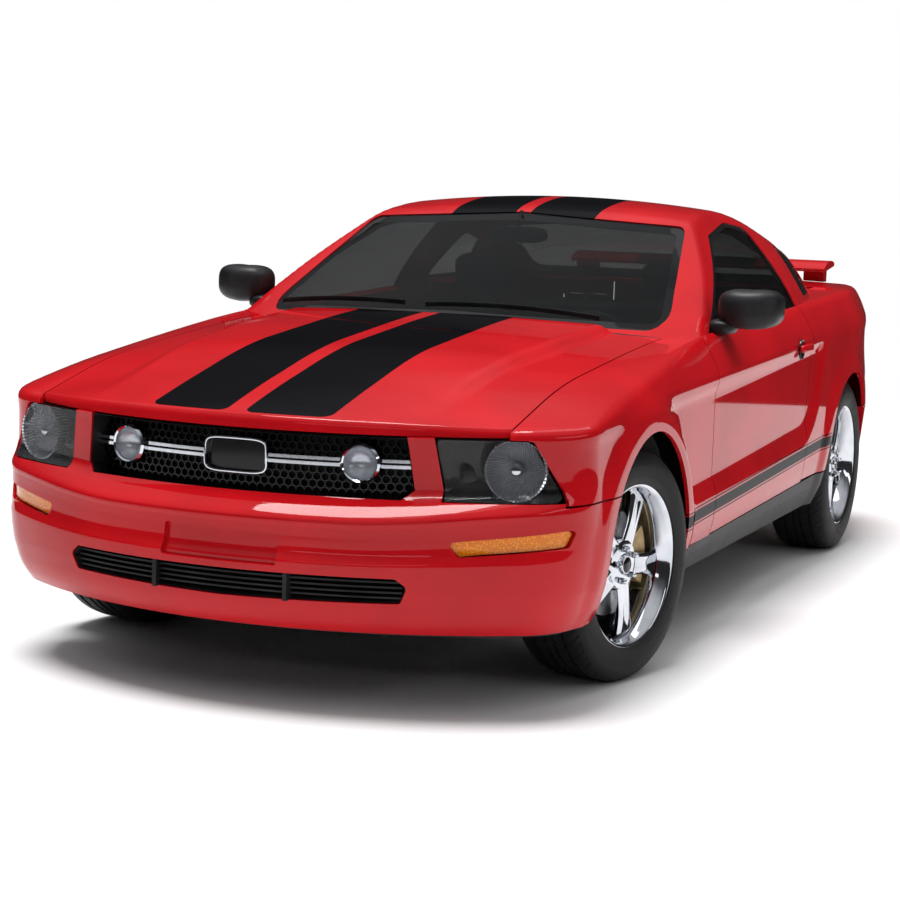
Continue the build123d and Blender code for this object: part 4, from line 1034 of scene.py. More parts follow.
def sheet(outline, holes=(), cell=0.016, rows=(), columns=()):
    """Flat sheet of small cells inside an outline, with rows moved onto given heights."""
    outline = np.array(outline, float)
    low, high = outline.min(axis=0), outline.max(axis=0)
    counts = [max(2, int(round(run / cell))) for run in high - low]
    bm = bmesh.new()
    bmesh.ops.create_grid(bm, x_segments=counts[0], y_segments=counts[1], size=0.5)
    lines = []
    for axis, wanted in ((0, columns), (1, rows)):
        line = np.linspace(low[axis], high[axis], counts[axis] + 1)
        for place in wanted:
            if low[axis] < place < high[axis]:
                line[1 + np.argmin(abs(line[1:-1] - place))] = place
        lines.append(line)
    for vert in bm.verts:
        vert.co.x = lines[0][int(round((vert.co.x + 0.5) * counts[0]))]
        vert.co.y = lines[1][int(round((vert.co.y + 0.5) * counts[1]))]
    for loop in [outline] + [np.array(hole, float) for hole in holes]:
        cut_along(bm, loop, cell)
    centres = np.array([face.calc_center_median()[:2] for face in bm.faces])
    kept = inside(centres, outline)
    for hole in holes:
        kept &= ~inside(centres, np.array(hole, float))
    gone = [face for face, keep in zip(list(bm.faces), kept) if not keep]
    bmesh.ops.delete(bm, geom=gone, context="FACES")
    bmesh.ops.remove_doubles(bm, verts=bm.verts, dist=2e-5)
    return bm


def surface_normals(surface, u, w):
    """Outward normals of a surface, from its slopes."""
    step = 0.0015
    along = surface(u + step, w) - surface(u - step, w)
    across = surface(u, w + step) - surface(u, w - step)
    normals = np.cross(along, across)
    normals = normals / np.maximum(np.linalg.norm(normals, axis=1, keepdims=True), 1e-12)
    facing = np.sum(normals * (surface(u, w) - CAR_MIDDLE))
    return normals if facing > 0 else -normals


def turned_over(layer, verts):
    """Moves vertices and their outward directions to the car's other side."""
    for vert in verts:
        vert.co.y = -vert.co.y
        normal = vert[layer]
        vert[layer] = (normal[0], -normal[1], normal[2])


def made_whole(bm, layer):
    """Trims a left half at the middle of the car and joins it to its mirror image."""
    bmesh.ops.bisect_plane(
        bm, geom=whole_of(bm), dist=1e-6, plane_co=(0, 0, 0), plane_no=(0, 1, 0), clear_inner=True
    )
    for vert in bm.verts:
        if abs(vert.co.y) < 1e-6:
            vert.co.y = 0.0
            vert[layer] = Vector((vert[layer].x, 0, vert[layer].z)).normalized()
    twin = bmesh.ops.duplicate(bm, geom=whole_of(bm))["geom"]
    turned_over(layer, verts_in(twin))
    bmesh.ops.reverse_faces(bm, faces=faces_in(twin))
    bmesh.ops.remove_doubles(bm, verts=bm.verts, dist=1e-5)


def skin(bm, surface, side=1, thickness=None, whole=False, backing=None):
    """Bends a flat sheet onto a surface and gives it thickness: the mesh and its normals.

    side -1 makes the mirrored panel, whole joins a left half to its mirror image, and
    backing sets how far in the panel's back lies, from a point's place.
    """
    thickness = thickness or bpy.context.scene.car_body.skin_thickness
    flat = np.array([vert.co[:] for vert in bm.verts])
    places = surface(flat[:, 0], flat[:, 1])
    normals = surface_normals(surface, flat[:, 0], flat[:, 1])
    outward = bm.verts.layers.float_vector.new("outward")
    for vert, place, normal in zip(bm.verts, places, normals):
        vert.co = place
        vert[outward] = normal
    if whole:
        made_whole(bm, outward)
    else:
        for face in bm.faces:
            wanted = sum((vert[outward] for vert in face.verts), Vector())
            if face.normal.dot(wanted) < 0:
                face.normal_flip()
    bm.normal_update()
    outer = bm.faces.layers.int.new("outer")
    front = set(bm.faces)
    made = extruded(bm)
    for face in bm.faces:
        face[outer] = int(face in front)
    for vert in verts_in(made):
        if backing is None:
            vert.co -= vert[outward] * thickness
        else:
            vert.co = backing(vert.co, vert[outward])
    if side < 0:
        turned_over(outward, bm.verts)
    bmesh.ops.recalc_face_normals(bm, faces=bm.faces)
    bm.normal_update()
    shown = [face for face in bm.faces if face[outer]]
    if sum(face.calc_area() * face.normal.dot(face.verts[0][outward]) for face in shown) < 0:
        bmesh.ops.reverse_faces(bm, faces=bm.faces)
    bm.normal_update()
    loops = []
    for face in bm.faces:
        if face[outer]:
            loops.extend(tuple(loop.vert[outward]) for loop in face.loops)
        else:
            loops.extend([tuple(face.normal)] * len(face.loops))
    bm.verts.layers.float_vector.remove(outward)
    return bm, loops


def line(points, step=EDGE_STEP):
    """Points along a run of straight lines, no farther apart than a step."""
    made = []
    for start, end in zip(points, points[1:]):
        start, end = np.array(start, float), np.array(end, float)
        count = max(1, int(np.ceil(np.hypot(*(end - start)) / step)))
        made.extend(start + (end - start) * i / count for i in range(count))
    made.append(np.array(points[-1], float))
    return np.array(made)


def rounded(points, radius, steps=5):
    """A closed outline with its corners rounded."""
    made = []
    count = len(points)
    for i in range(count):
        before, at, after = (np.array(points[(i + j) % count], float) for j in (-1, 0, 1))
        into, out = before - at, after - at
        into, out = into / np.hypot(*into), out / np.hypot(*out)
        half = np.arccos(np.clip(into @ out, -1, 1)) / 2
        if half > 1.5:
            made.append(at)
            continue
        r = radius[i] if isinstance(radius, (tuple, list)) else radius
        reach = r / tan(half)
        centre = at + (into + out) / np.hypot(*(into + out)) * r / sin(half)
        start, end = at + into * reach - centre, at + out * reach - centre
        turn = atan2(start[0] * end[1] - start[1] * end[0], start @ end)
        for k in range(steps + 1):
            angle = turn * k / steps
            across = start[0] * cos(angle) - start[1] * sin(angle)
            along = start[0] * sin(angle) + start[1] * cos(angle)
            made.append(centre + (across, along))
    return np.array(made)


def pairs(first, second):
    """Points of two rows of coordinates; a single second one goes with every first."""
    return np.stack([first, second + 0 * first], axis=1)


def side_outline(points):
    """Places on the side, each a run and a height, as places on the flat sheet."""
    points = np.asarray(points, float)
    return pairs(points[:, 0], level_at(points[:, 0], points[:, 1]))


def arc(centre, radius, start, end, steps=28):
    """Points on a circle between two angles in degrees."""
    angles = np.radians(np.linspace(start, end, steps))
    return pairs(centre[0] + radius * np.cos(angles), centre[1] + radius * np.sin(angles))


# ---- body panels --------------------------------------------------------------------
DOOR_FRONT_X = 0.690
DOOR_REAR_LOW_X = -0.560
DOOR_REAR_HIGH_X = -0.632
SILL_TOP = (0.327, 0.366)  # at the front and rear arches
BUMPER_TOP = 0.590
REAR_BUMPER_X = -1.960
REAR_BUMPER_TOP = 0.735
BODY_FOOT = 0.234
HOOD_SIDE = 0.735
DECK_HALF = 0.610
DECK_FRONT = -1.745
DECK_FACE_HALF = 0.430
DECK_FACE_LOW = 0.789
QUARTER_FOOT = 0.565
SHELF_FRONT = -1.60
TAIL_LAMPS = ((0.452, 0.542), (0.556, 0.646), (0.660, 0.744))
LAMP_Z = (0.800, 0.944)
LAMP_CORNER_LOW = (0.876, 0.600)  # outer edge of the headlamp's opening
LAMP_CORNER_HIGH = (0.790, 0.764)
FENDER_LIP_Z = 0.768
DOOR_SKIN = 0.012
DOOR_DEPTH = 0.13
DOOR_INNER_Y = 0.796
WAIST_Y = 0.69
DECK_CORNER_X = -2.30
QUARTER_DROP = ((-1.875, QUARTER_FOOT), (-1.66, QUARTER_FOOT))
HOOD_REAR_MIDDLE = 0.930  # station of the hood's rear edge, at the middle and the side
HOOD_REAR_SIDE = 0.750
HOOD_LIP_Z = 0.772
HOOD_SPREAD = 1.45  # stretches the hood's flat sheet to even cells
LIP_INSET = 0.070
HOOD_ROUND = 0.014
HOOD_END = 0.80  # beyond this distance from the middle its ends run straight
BULGE_EDGES = (0.575, 0.520)  # distance from the middle, at BULGE_STATIONS
BULGE_STATIONS = (0.9, 1.9)
BULGE_FADE = (1.55, 2.20)
HOOD_STATIONS = (0.004, 0.25, 0.5, 0.75)  # shares of its length
DECK_INSET = 0.062
DECK_ROUND = 0.020
DECK_LIP = 0.004
DECK_LIP_RUN = (2.10, 2.25)
DECK_LIP_ENDS = (0.5, 0.6)
DECK_RUN = 2.321  # of its rear edge
DECK_EDGE_Z = 1.045
PANEL = 0.012
QUARTER_SKIN = 0.014
QUARTER_CELL = 0.011
LAMP_CORNER = 0.016
SILL_SKIN = 0.02
SILL_ENDS_Z = (0.30, 0.33)
SILL_CLEARANCE = 0.006
SILL_DRAFT = 0.012
BELT_TUCK = 0.004  # of the door's top, out of the cab's side


def soft_body(u, w):
    """The body's surface with its shoulder rounded."""
    return eased(body_point, BODY_REACH, u, w)


def sill_top(x):
    """Height of the sill's upper edge at a station."""
    return float(np.interp(x, (-0.90, 1.00), (SILL_TOP[1], SILL_TOP[0])))


def door_rear(z):
    """Station of the door's rear edge at a height."""
    return float(np.interp(z, (0.45, 0.80), (DOOR_REAR_LOW_X, DOOR_REAR_HIGH_X)))


def arch_edge(axle_x, radius, start, end):
    """The arch's edge between two angles, on the flat sheet."""
    return side_outline(arc((axle_x, WHEEL_Z), radius, start, end))


def angle_on(radius, z, ahead):
    """Angle in degrees at which an arch reaches a height, on its front or rear side."""
    lift = asin((z - WHEEL_Z) / radius) * 180 / pi
    return lift if ahead else 180 - lift


def make_fender(side, name):
    """Front fender: from the door to the headlamp, and over to the hood."""
    low = sill_top(1.0) + GAP / 2
    seam = BUMPER_TOP + GAP / 2
    start = angle_on(FRONT_ARCH, seam, True)
    end = angle_on(FRONT_ARCH, low, False)
    lamp = line([(y + GAP, z) for y, z in (LAMP_CORNER_LOW, LAMP_CORNER_HIGH)], 0.02)
    lamp_u = u_at(lamp[:, 0], lamp[:, 1])
    lamp_edge = pairs(lamp_u, level_at(lamp_u, lamp[:, 1]))
    foot = side_outline(line([(FRONT_AXLE_X + 0.30, seam), (float(lamp_u[0]), seam)]))
    high = LAMP_CORNER_HIGH[0] + GAP
    top = line([(high, FENDER_LIP_Z), (HOOD_SIDE + GAP / 2, FENDER_LIP_Z)], 0.015)
    top_u = u_at(top[:, 0], top[:, 1])
    top_edge = pairs(top_u, level_at(top_u, top[:, 1]))
    # along the hood's seam, from the nose back to the cowl
    runs = np.linspace(float(top_u[-1]) - 0.002, DOOR_FRONT_X + GAP / 2, 90)
    seam_edge = pairs(runs, run_to(runs, HOOD_SIDE + GAP / 2))
    rear = side_outline(line([(runs[-1], 0.93), (runs[-1], low)]))
    arch = arch_edge(FRONT_AXLE_X, FRONT_ARCH, end, start)
    outline = np.concatenate([arch, foot[4:], lamp_edge, top_edge[1:], seam_edge, rear])
    bm = sheet(outline, cell=bpy.context.scene.car_body.cell, rows=(SHOULDER, ROCKER))
    bm, normals = skin(bm, soft_body, side)
    add_piece(name + "_skin", bm, "shell", finish(side_paint), [name], normals)


def make_door(side, name):
    """Door's outer skin and its body-coloured back."""
    top = 0.96
    front = DOOR_FRONT_X - GAP / 2
    low = sill_top(DOOR_REAR_LOW_X) + GAP / 2
    foot = [(door_rear(0.3) + GAP / 2, low), (front, sill_top(front) + GAP / 2)]
    rear = [(door_rear(z) + GAP / 2, z) for z in np.linspace(top, low, 28)]
    runs = np.linspace(front, rear[0][0], 60)
    belt = pairs(runs, run_to(runs, cab_half_width(runs, 1.0 - runs * BELT_SLOPE) + BELT_TUCK))
    fore = line([foot[1], (front, top)])
    outline = [side_outline(line(foot)), side_outline(fore), belt, side_outline(rear)]
    outline = np.concatenate(outline)
    bm = sheet(outline, cell=DOOR_SKIN, rows=(SHOULDER, ROCKER))

    def backing(place, normal):
        y = min(place.y - DOOR_SKIN, max(DOOR_INNER_Y, place.y - DOOR_DEPTH))
        return Vector((place.x, y, place.z - DOOR_SKIN * max(0.0, normal[2])))

    bm, normals = skin(bm, soft_body, side, backing=backing)
    add_piece(name + "_skin", bm, name, finish(side_paint), [name], normals)


def make_quarter(side, name):
    """Rear quarter panel: from the door round to the tail, and over to the deck lid."""
    low = sill_top(-0.9) + GAP / 2
    seam = REAR_BUMPER_TOP + GAP / 2
    high = DOOR_REAR_HIGH_X - GAP / 2
    door_edge = side_outline([(door_rear(z) - GAP / 2, z) for z in np.linspace(low, 0.97, 26)])
    waist_u = np.linspace(high, SHELF_FRONT, 40)
    waist = pairs(waist_u, run_to(waist_u, WAIST_Y + 0 * waist_u))
    shelf_u = np.array((SHELF_FRONT, DECK_FRONT + GAP / 2))
    shelf = pairs(shelf_u, run_to(shelf_u, 0 * shelf_u))
    deck_u = np.linspace(DECK_FRONT + GAP / 2, DECK_CORNER_X, 30)
    deck_edge = pairs(deck_u, run_to(deck_u, DECK_HALF + GAP / 2))
    face_u = float(u_behind(DECK_FACE_HALF + GAP / 2, 0.85))
    lamp_u = float(u_behind(DECK_HALF + GAP / 2, 1.0))
    over = np.interp(lamp_u, U_STEPS, CORNER_LEVELS)
    inner = [
        (lamp_u, over + 0.02),
        (face_u, over - 0.012),
        (face_u, level_at(face_u, DECK_FACE_LOW)),
        (REAR_U, level_at(REAR_U, DECK_FACE_LOW)),
        (REAR_U, level_at(REAR_U, seam)),
    ]
    bumper = (REAR_BUMPER_X - GAP / 2, seam)
    foot = side_outline(line([(REAR_U, seam), bumper]))
    drop = side_outline(line([bumper, *QUARTER_DROP]))
    start = angle_on(REAR_ARCH, QUARTER_FOOT, False)
    end = angle_on(REAR_ARCH, low, True)
    arch = arch_edge(REAR_AXLE_X, REAR_ARCH, start, end)
    outline = np.concatenate([arch, door_edge, waist, shelf, deck_edge, inner, foot[1:], drop[1:]])
    holes = []
    low_z, high_z = LAMP_Z
    for inner_y, outer_y in TAIL_LAMPS:
        corners = [(inner_y, low_z), (outer_y, low_z), (outer_y, high_z), (inner_y, high_z)]
        edge = rounded(corners, LAMP_CORNER)
        u = u_behind(edge[:, 0], edge[:, 1])
        holes.append(pairs(u, level_at(u, edge[:, 1])))
    bm = sheet(outline, holes, cell=QUARTER_CELL, rows=(SHOULDER, ROCKER))
    bm, normals = skin(bm, soft_body, side, thickness=QUARTER_SKIN)
    add_piece(name + "_skin", bm, "shell", finish(side_paint), [name], normals)


def make_sills():
    """Both sills below the doors, in black: partly a black moulding, partly painted shade under the
    body.
    """
    for side, word in SIDES:
        front_z, rear_z = SILL_ENDS_Z
        front = FRONT_AXLE_X - sqrt(FRONT_ARCH**2 - (WHEEL_Z - front_z) ** 2) - SILL_CLEARANCE
        rear = REAR_AXLE_X + sqrt(REAR_ARCH**2 - (WHEEL_Z - rear_z) ** 2) + SILL_CLEARANCE
        top = [(front, sill_top(front) - GAP / 2), (rear, sill_top(rear) - GAP / 2)]
        low = [(rear + SILL_DRAFT, BODY_FOOT), (front - SILL_DRAFT, BODY_FOOT)]
        outline = side_outline(line(top + low + top[:1], 0.05))[:-1]
        bm = sheet(outline)
        bm, normals = skin(bm, side_point, side, thickness=SILL_SKIN)
        replaced = ["sills"] if side > 0 else []
        # the black here stands partly for painted shade under the body
        material = finish(moulded_black)
        add_piece(word + "sill_skin", bm, "shell", material, replaced, normals)


def lip_x(y):
    """Station of the hood's lip at a distance from the middle."""
    return NOSE_CENTRE[0] + np.sqrt((NOSE_RADIUS - LIP_INSET) ** 2 - y**2)


def hood_height(x, y):
    """Height of the hood, with its raised middle."""
    across = np.abs(y)
    edge = np.interp(x, BULGE_STATIONS, BULGE_EDGES)
    bulge = BULGE * (1 - rise(across, edge - 0.022, edge + 0.013)) * (1 - rise(x, *BULGE_FADE))
    return top_height(x, y) + bulge


def hood_rear(y):
    """Station of the hood's rear edge at a distance from the middle."""
    return HOOD_REAR_MIDDLE - (HOOD_REAR_MIDDLE - HOOD_REAR_SIDE) * (y / HOOD_SIDE) ** 2


def hood_point(v, y):
    """v runs from the rear edge to the lip, and then down the nose."""
    y0 = np.minimum(np.abs(y), HOOD_END)
    rear = hood_rear(y0)
    lip = lip_x(y0)
    run = np.minimum(v, 1.0) * (lip - rear)
    down = np.maximum(v - 1.0, 0.0) * (lip - rear)
    x = rear + run
    return np.stack([x, y + 0 * x, hood_height(x, y) - down], axis=-1)


def soft_hood(v, y):
    """The hood with its front lip rounded."""
    return eased(hood_point, HOOD_ROUND, v, y)


def make_hood():
    """Hood with its raised middle, from the cowl to the lip over the grille."""
    edge = HOOD_SIDE - GAP / 2
    lip_end = []
    for y in np.linspace(edge, -edge, 41):
        drop = hood_height(lip_x(y), y) - HOOD_LIP_Z
        length = lip_x(y) - hood_rear(y)
        lip_end.append((1.0 + max(drop, 0.004) / length, y))
    left = [(v, edge) for v in HOOD_STATIONS]
    right = [(v, -edge) for v in reversed(HOOD_STATIONS)]
    outline = np.array(left + lip_end + right) * (HOOD_SPREAD, 1.0)
    bm = sheet(outline, columns=(HOOD_SPREAD,), cell=WIDE_CELL)
    for vert in bm.verts:
        vert.co.x /= HOOD_SPREAD
    bm, normals = skin(bm, soft_hood, thickness=PANEL)
    add_piece("hood_skin", bm, "hood", finish(striped_paint), ["hood"], normals)


def tail_x(y):
    """Station of the tail's upper edge at a distance from the middle."""
    return TAIL_CENTRE[0] - np.sqrt((TAIL_RADIUS - DECK_INSET) ** 2 - y**2)


def deck_point(s, y):
    """s runs rearward over the deck, and then down the tail."""
    edge = tail_x(np.abs(y))
    x = np.maximum(-s, edge)
    down = np.maximum(edge + s, 0.0)
    z = top_height(x, y) - down
    lip = DECK_LIP * rise(s, *DECK_LIP_RUN) * (1 - rise(np.abs(y), *DECK_LIP_ENDS))
    return np.stack([x - lip, y + 0 * x, z], axis=-1)


def soft_deck(s, y):
    """The deck lid with its rear edge rounded."""
    return eased(deck_point, DECK_ROUND, s, y)


def make_deck_lid():
    """Deck lid, with its rear face between the lamps."""
    top, face = DECK_HALF - GAP / 2, DECK_FACE_HALF - GAP / 2
    front = -DECK_FRONT + GAP / 2
    edge_s = float(-tail_x(top)) + 0.004
    low_s = DECK_RUN + (DECK_EDGE_Z - DECK_FACE_LOW - GAP)
    half = [(front, top), (1.95, top), (edge_s, top)]
    half += [(edge_s + 0.02, face), (2.5, face), (low_s, face)]
    outline = half + [(s, -y) for s, y in reversed(half)]
    bm = sheet(outline, cell=WIDE_CELL)
    bm, normals = skin(bm, soft_deck, thickness=PANEL)
    material = finish(striped_paint)
    add_piece("deck_lid_skin", bm, "deck_lid", material, ["deck_lid"], normals)


# ---- cab panels ---------------------------------------------------------------------
SCREEN_OPENING = ((0.0, 1.003), (0.735, 0.985), (0.598, 1.316), (0.0, 1.352))
REAR_OPENING = ((0.0, 1.082), (0.590, 1.082), (0.500, 1.298), (0.0, 1.338))
DOOR_WINDOW = ((0.650, 0.940), (-0.055, 1.286), (-0.380, 1.331), (-0.618, 1.309), (-0.638, 0.94))
DOOR_WINDOW_CORNERS = (0.02, 0.05, 0.3, 0.04, 0.02)
QUARTER_WINDOW = ((-0.850, 1.046), (-1.182, 1.058), (-1.096, 1.232), (-0.915, 1.262))
QUARTER_WINDOW_CORNERS = (0.03, 0.035, 0.03, 0.03)
SCREEN_CORNER = 0.045
BELT_ENDS = (0.93, -1.70)
BELT_FOOT = 0.985
BELT_OVERLAP = 0.01
ROOF_SKIN = 0.02
PAST_MIDDLE = 0.05  # how far a left half reaches over the middle before it is trimmed


def x_on_cab(y, z, front):
    """Station at which the windscreen or rear window has a place seen from its end."""
    y, z = np.broadcast_arrays(np.asarray(y, float), np.asarray(z, float))
    way, far = (1, 1.05) if front else (-1, 1.80)
    start = np.full(y.shape, way * CROWN_X)
    return way * solve(lambda x: cab_height(way * x, y) - z, start, np.full(y.shape, far))


def seen_opening(points, step):
    """A screen's opening as seen from its end, in short steps."""
    ends = [(-PAST_MIDDLE, points[0][1]), *points[1:-1], (-PAST_MIDDLE, points[-1][1])]
    edge = rounded(ends, SCREEN_CORNER)
    return line(list(edge) + [edge[0]], step)[:-1]


def on_cab(edge, front):
    """An outline seen from its end as one on the cab's flat sheet."""
    x = x_on_cab(np.abs(edge[:, 0]), edge[:, 1], front)
    return pairs(x, cab_run(x, edge[:, 0]))


def make_roof():
    """Roof with its pillars, open at the screens and side windows."""
    belt_x = np.linspace(*BELT_ENDS, 50)
    belt_w = BELT_FOOT - belt_x * BELT_SLOPE
    belt_w = np.minimum(belt_w, np.interp(belt_x, CAB_STEPS, RAILS) + BELT_OVERLAP)
    far = pairs(belt_x[::-1], cab_run(belt_x[::-1], -PAST_MIDDLE / 2 + 0 * belt_x))
    outline = np.concatenate([pairs(belt_x, belt_w), far])
    holes = [
        on_cab(seen_opening(SCREEN_OPENING, 0.05), True),
        on_cab(seen_opening(REAR_OPENING, 0.05), False),
        rounded(DOOR_WINDOW, DOOR_WINDOW_CORNERS),
        rounded(QUARTER_WINDOW, QUARTER_WINDOW_CORNERS),
    ]
    bm = sheet(outline, holes, cell=WIDE_CELL)
    bm, normals = skin(bm, soft_cab, thickness=ROOF_SKIN, whole=True)
    add_piece("roof_skin", bm, "shell", finish(striped_paint), ["roof"], normals)


# ---- shaped parts -------------------------------------------------------------------
def turned(profile, centre, axis, steps=48, closed=False):
    """Solid of revolution: profile of (radius, along) pairs, round an axis through a centre."""
    bm = bmesh.new()
    verts = [bm.verts.new((radius, 0.0, along)) for radius, along in profile]
    ends = verts + verts[:1] if closed else verts
    edges = [bm.edges.new(pair) for pair in zip(ends, ends[1:])]
    middle, up = (0, 0, 0), (0, 0, 1)
    bmesh.ops.spin(
        bm, geom=verts + edges, cent=middle, axis=up, angle=2 * pi, steps=steps, use_merge=True
    )
    bmesh.ops.remove_doubles(bm, verts=bm.verts, dist=1e-6)
    bmesh.ops.recalc_face_normals(bm, faces=bm.faces)
    turn = Vector((0, 0, 1)).rotation_difference(Vector(axis)).to_matrix().to_4x4()
    bmesh.ops.transform(bm, matrix=Matrix.Translation(centre) @ turn, verts=bm.verts)
    return bm


def bevelled(bm, width, sharp):
    """Rounds a shape's edges whose angle, in radians, is over a limit."""
    edges = [edge for edge in bm.edges if edge.calc_face_angle(0.0) > sharp]
    bmesh.ops.bevel(
        bm, geom=edges, offset=width, affect="EDGES", segments=2, profile=0.5, material=-1
    )
    return bm


def plate(outline, thickness, border=None, bevel=0.0):
    """Flat plate of an outline in its own XY plane, from z = 0 up; a border leaves a frame."""
    bm = bmesh.new()
    bmesh.ops.create_circle(bm, cap_ends=True, segments=len(outline), radius=1.0)
    for vert, place in zip(bm.verts, outline):
        vert.co = (place[0], place[1], 0.0)
    bm.normal_update()
    if bm.faces[:][0].normal.z < 0:
        bmesh.ops.reverse_faces(bm, faces=bm.faces)
    if border:
        face = bm.faces[:][0]
        bmesh.ops.inset_individual(bm, faces=[face], thickness=border)
        bmesh.ops.delete(bm, geom=[face], context="FACES_ONLY")
    thickened(bm, (0, 0, thickness))
    if bevel:
        bevelled(bm, bevel, 1.0)
    return bm


def placed(bm, centre, across, up):
    """Puts a shape's X along a direction, its Y along another and its Z out of both."""
    x, y = Vector(across).normalized(), Vector(up).normalized()
    out = x.cross(y)
    matrix = Matrix((x, y, out)).transposed().to_4x4()
    bmesh.ops.transform(bm, matrix=Matrix.Translation(centre) @ matrix, verts=bm.verts)
    return bm


def joined(parts):
    """One mesh of several."""
    whole = bmesh.new()
    for part in parts:
        mesh = bpy.data.meshes.new("part")
        part.to_mesh(mesh)
        part.free()
        whole.from_mesh(mesh)
        bpy.data.meshes.remove(mesh)
    return whole


def superellipse(half_width, half_height, power=4.0, steps=40):
    """Outline of a soft rectangle."""

    def bent(value):
        return abs(value) ** (2 / power) * (1 if value >= 0 else -1)

    angles = [2 * pi * step / steps for step in range(steps)]
    return [(half_width * bent(cos(angle)), half_height * bent(sin(angle))) for angle in angles]


# ---- nose ---------------------------------------------------------------------------
LOWER_OPENING = ((-0.03, 0.396), (0.490, 0.396), (0.520, 0.372), (0.500, 0.326), (-0.03, 0.318))
TURN_LAMP = ((0.612, 0.497), (0.900, 0.528), (0.886, 0.478), (0.640, 0.458))
PLATE_RECESS = ((-0.03, 0.504), (0.171, 0.504), (0.176, 0.414), (-0.03, 0.414))
LAMP_INNER = ((0.582, 0.600), (0.556, 0.768))
GRILLE_SIDE = ((0.488, 0.768), (0.506, 0.626), (0.478, 0.600))
NOSE_LIP_MIDDLE = (-0.03, 0.600)
LOWER_CORNERS = (0.001, 0.012, 0.014, 0.012, 0.001)
TURN_LAMP_CORNER = 0.010
PLATE_CORNERS = (0.001, 0.008, 0.008, 0.001)
BUMPER_ROWS = (0.262, 0.300, 0.425, 0.434, 0.448, 0.528, 0.540, 0.548, 0.600, 0.617)
BUMPER_SKIN = 0.020
TRAY_INSET = 0.004
HEADLAMP = ((0.560, 0.764), (0.788, 0.764), (0.872, 0.604), (0.586, 0.604))
HEADLAMP_CORNERS = (0.008, 0.030, 0.012, 0.008)
HEADLAMP_CENTRE = (2.072, 0.742, 0.684)
HEADLAMP_AXIS = (0.94, 0.30, 0.02)
HEADLAMP_DEPTH = 0.085
LENS_INSET = 0.002
LENS_THICKNESS = 0.003
RECESS_DEPTH = 0.014
RECESS_SPREAD = 1.04
RECESS_CORNERS = (0.001, 0.004, 0.004, 0.001)
BUMPER_ROUND = 0.0035
BUMPER_CELL = 0.013
TURN_CELL = 0.012
TURN_DEPTH = 0.012
TURN_GLASS_CORNER = 0.009
MARKER_CENTRE = (2.13, 0.625, 0.66)
# turned profiles: (radius, along the axis)
HEADLAMP_BOWL = (
    (0.014, -0.045), (0.040, -0.038), (0.062, -0.020), (0.075, 0.004), (0.080, 0.018), (0.084, 0.020),
    (0.086, 0.014), (0.080, -0.010), (0.066, -0.034), (0.040, -0.050), (0.014, -0.055),
)
SHIELD_PROFILE = ((0.0, 0.006), (0.012, 0.004), (0.018, -0.006), (0.018, -0.05), (0.0, -0.05))
MARKER_PROFILE = ((0.0, 0.004), (0.016, 0.002), (0.022, -0.004), (0.022, -0.03), (0.0, -0.03))
TURN_GLASS = ((0.613, 0.495), (0.898, 0.525), (0.884, 0.480), (0.641, 0.460))
FLUTES = 26.0


def bumper_row(u, z):
    """Row of the bumper's flat sheet that lies at a height."""
    row = z
    for _ in range(4):
        row = z - bumper_lift(row, plan(u)[1])
    return row


def on_bumper(points):
    """An outline seen from the front as one on the bumper's flat sheet."""
    points = np.asarray(points, float)
    u = u_at(np.abs(points[:, 0]), points[:, 1])
    u = np.where(points[:, 0] < 0, 2 * FRONT_U - u, u)
    return pairs(u, bumper_row(u, points[:, 1]))


def loop_of(points, radius):
    """A rounded closed outline in short steps."""
    edge = rounded(points, radius, 4)
    return line(list(edge) + [edge[0]])[:-1]


def sunk(surface, depth):
    """A surface set in by a depth."""

    def lower(u, w):
        return surface(u, w) - surface_normals(surface, u, w) * depth

    return lower


def make_front_bumper():
    """Front bumper with its openings, up to the hood between grille and headlamps."""
    seam = BUMPER_TOP - GAP / 2
    arch_top = angle_on(FRONT_ARCH, seam, True)
    arch_low = angle_on(FRONT_ARCH, BODY_FOOT + 0.003, True)
    arch = arc((FRONT_AXLE_X, WHEEL_Z), FRONT_ARCH, arch_low, arch_top, 20)
    arch = pairs(arch[:, 0], bumper_row(arch[:, 0], arch[:, 1]))
    corner = on_bumper([(LAMP_CORNER_LOW[0], seam)])[0]
    top = line([arch[-1], corner])
    lamp = on_bumper(line([LAMP_CORNER_LOW, *LAMP_INNER, *GRILLE_SIDE, NOSE_LIP_MIDDLE]))
    foot = line([(lamp[-1][0], BODY_FOOT), (arch[0][0], BODY_FOOT)], 0.05)
    outline = np.concatenate([arch, top[1:], lamp, foot[:-1]])
    openings = (
        (LOWER_OPENING, LOWER_CORNERS), (TURN_LAMP, TURN_LAMP_CORNER), (PLATE_RECESS, PLATE_CORNERS)
    )
    holes = [on_bumper(loop_of(shape, radius)) for shape, radius in openings]
    bm = sheet(outline, holes, cell=BUMPER_CELL, rows=BUMPER_ROWS)

    def surface(u, w):
        return eased(bumper_point, BUMPER_ROUND, u, w)

    red = finish(plain_paint)
    bm, normals = skin(bm, surface, thickness=BUMPER_SKIN, whole=True)
    add_piece("front_bumper_skin", bm, "shell", red, ["front_bumper"], normals)
    wider = [(y * RECESS_SPREAD, z) for y, z in PLATE_RECESS]
    recess = sheet(on_bumper(loop_of(wider, RECESS_CORNERS)))
    bm, normals = skin(recess, sunk(surface, RECESS_DEPTH), thickness=0.004, whole=True)
    add_piece("plate_recess", bm, "shell", red, (), normals)


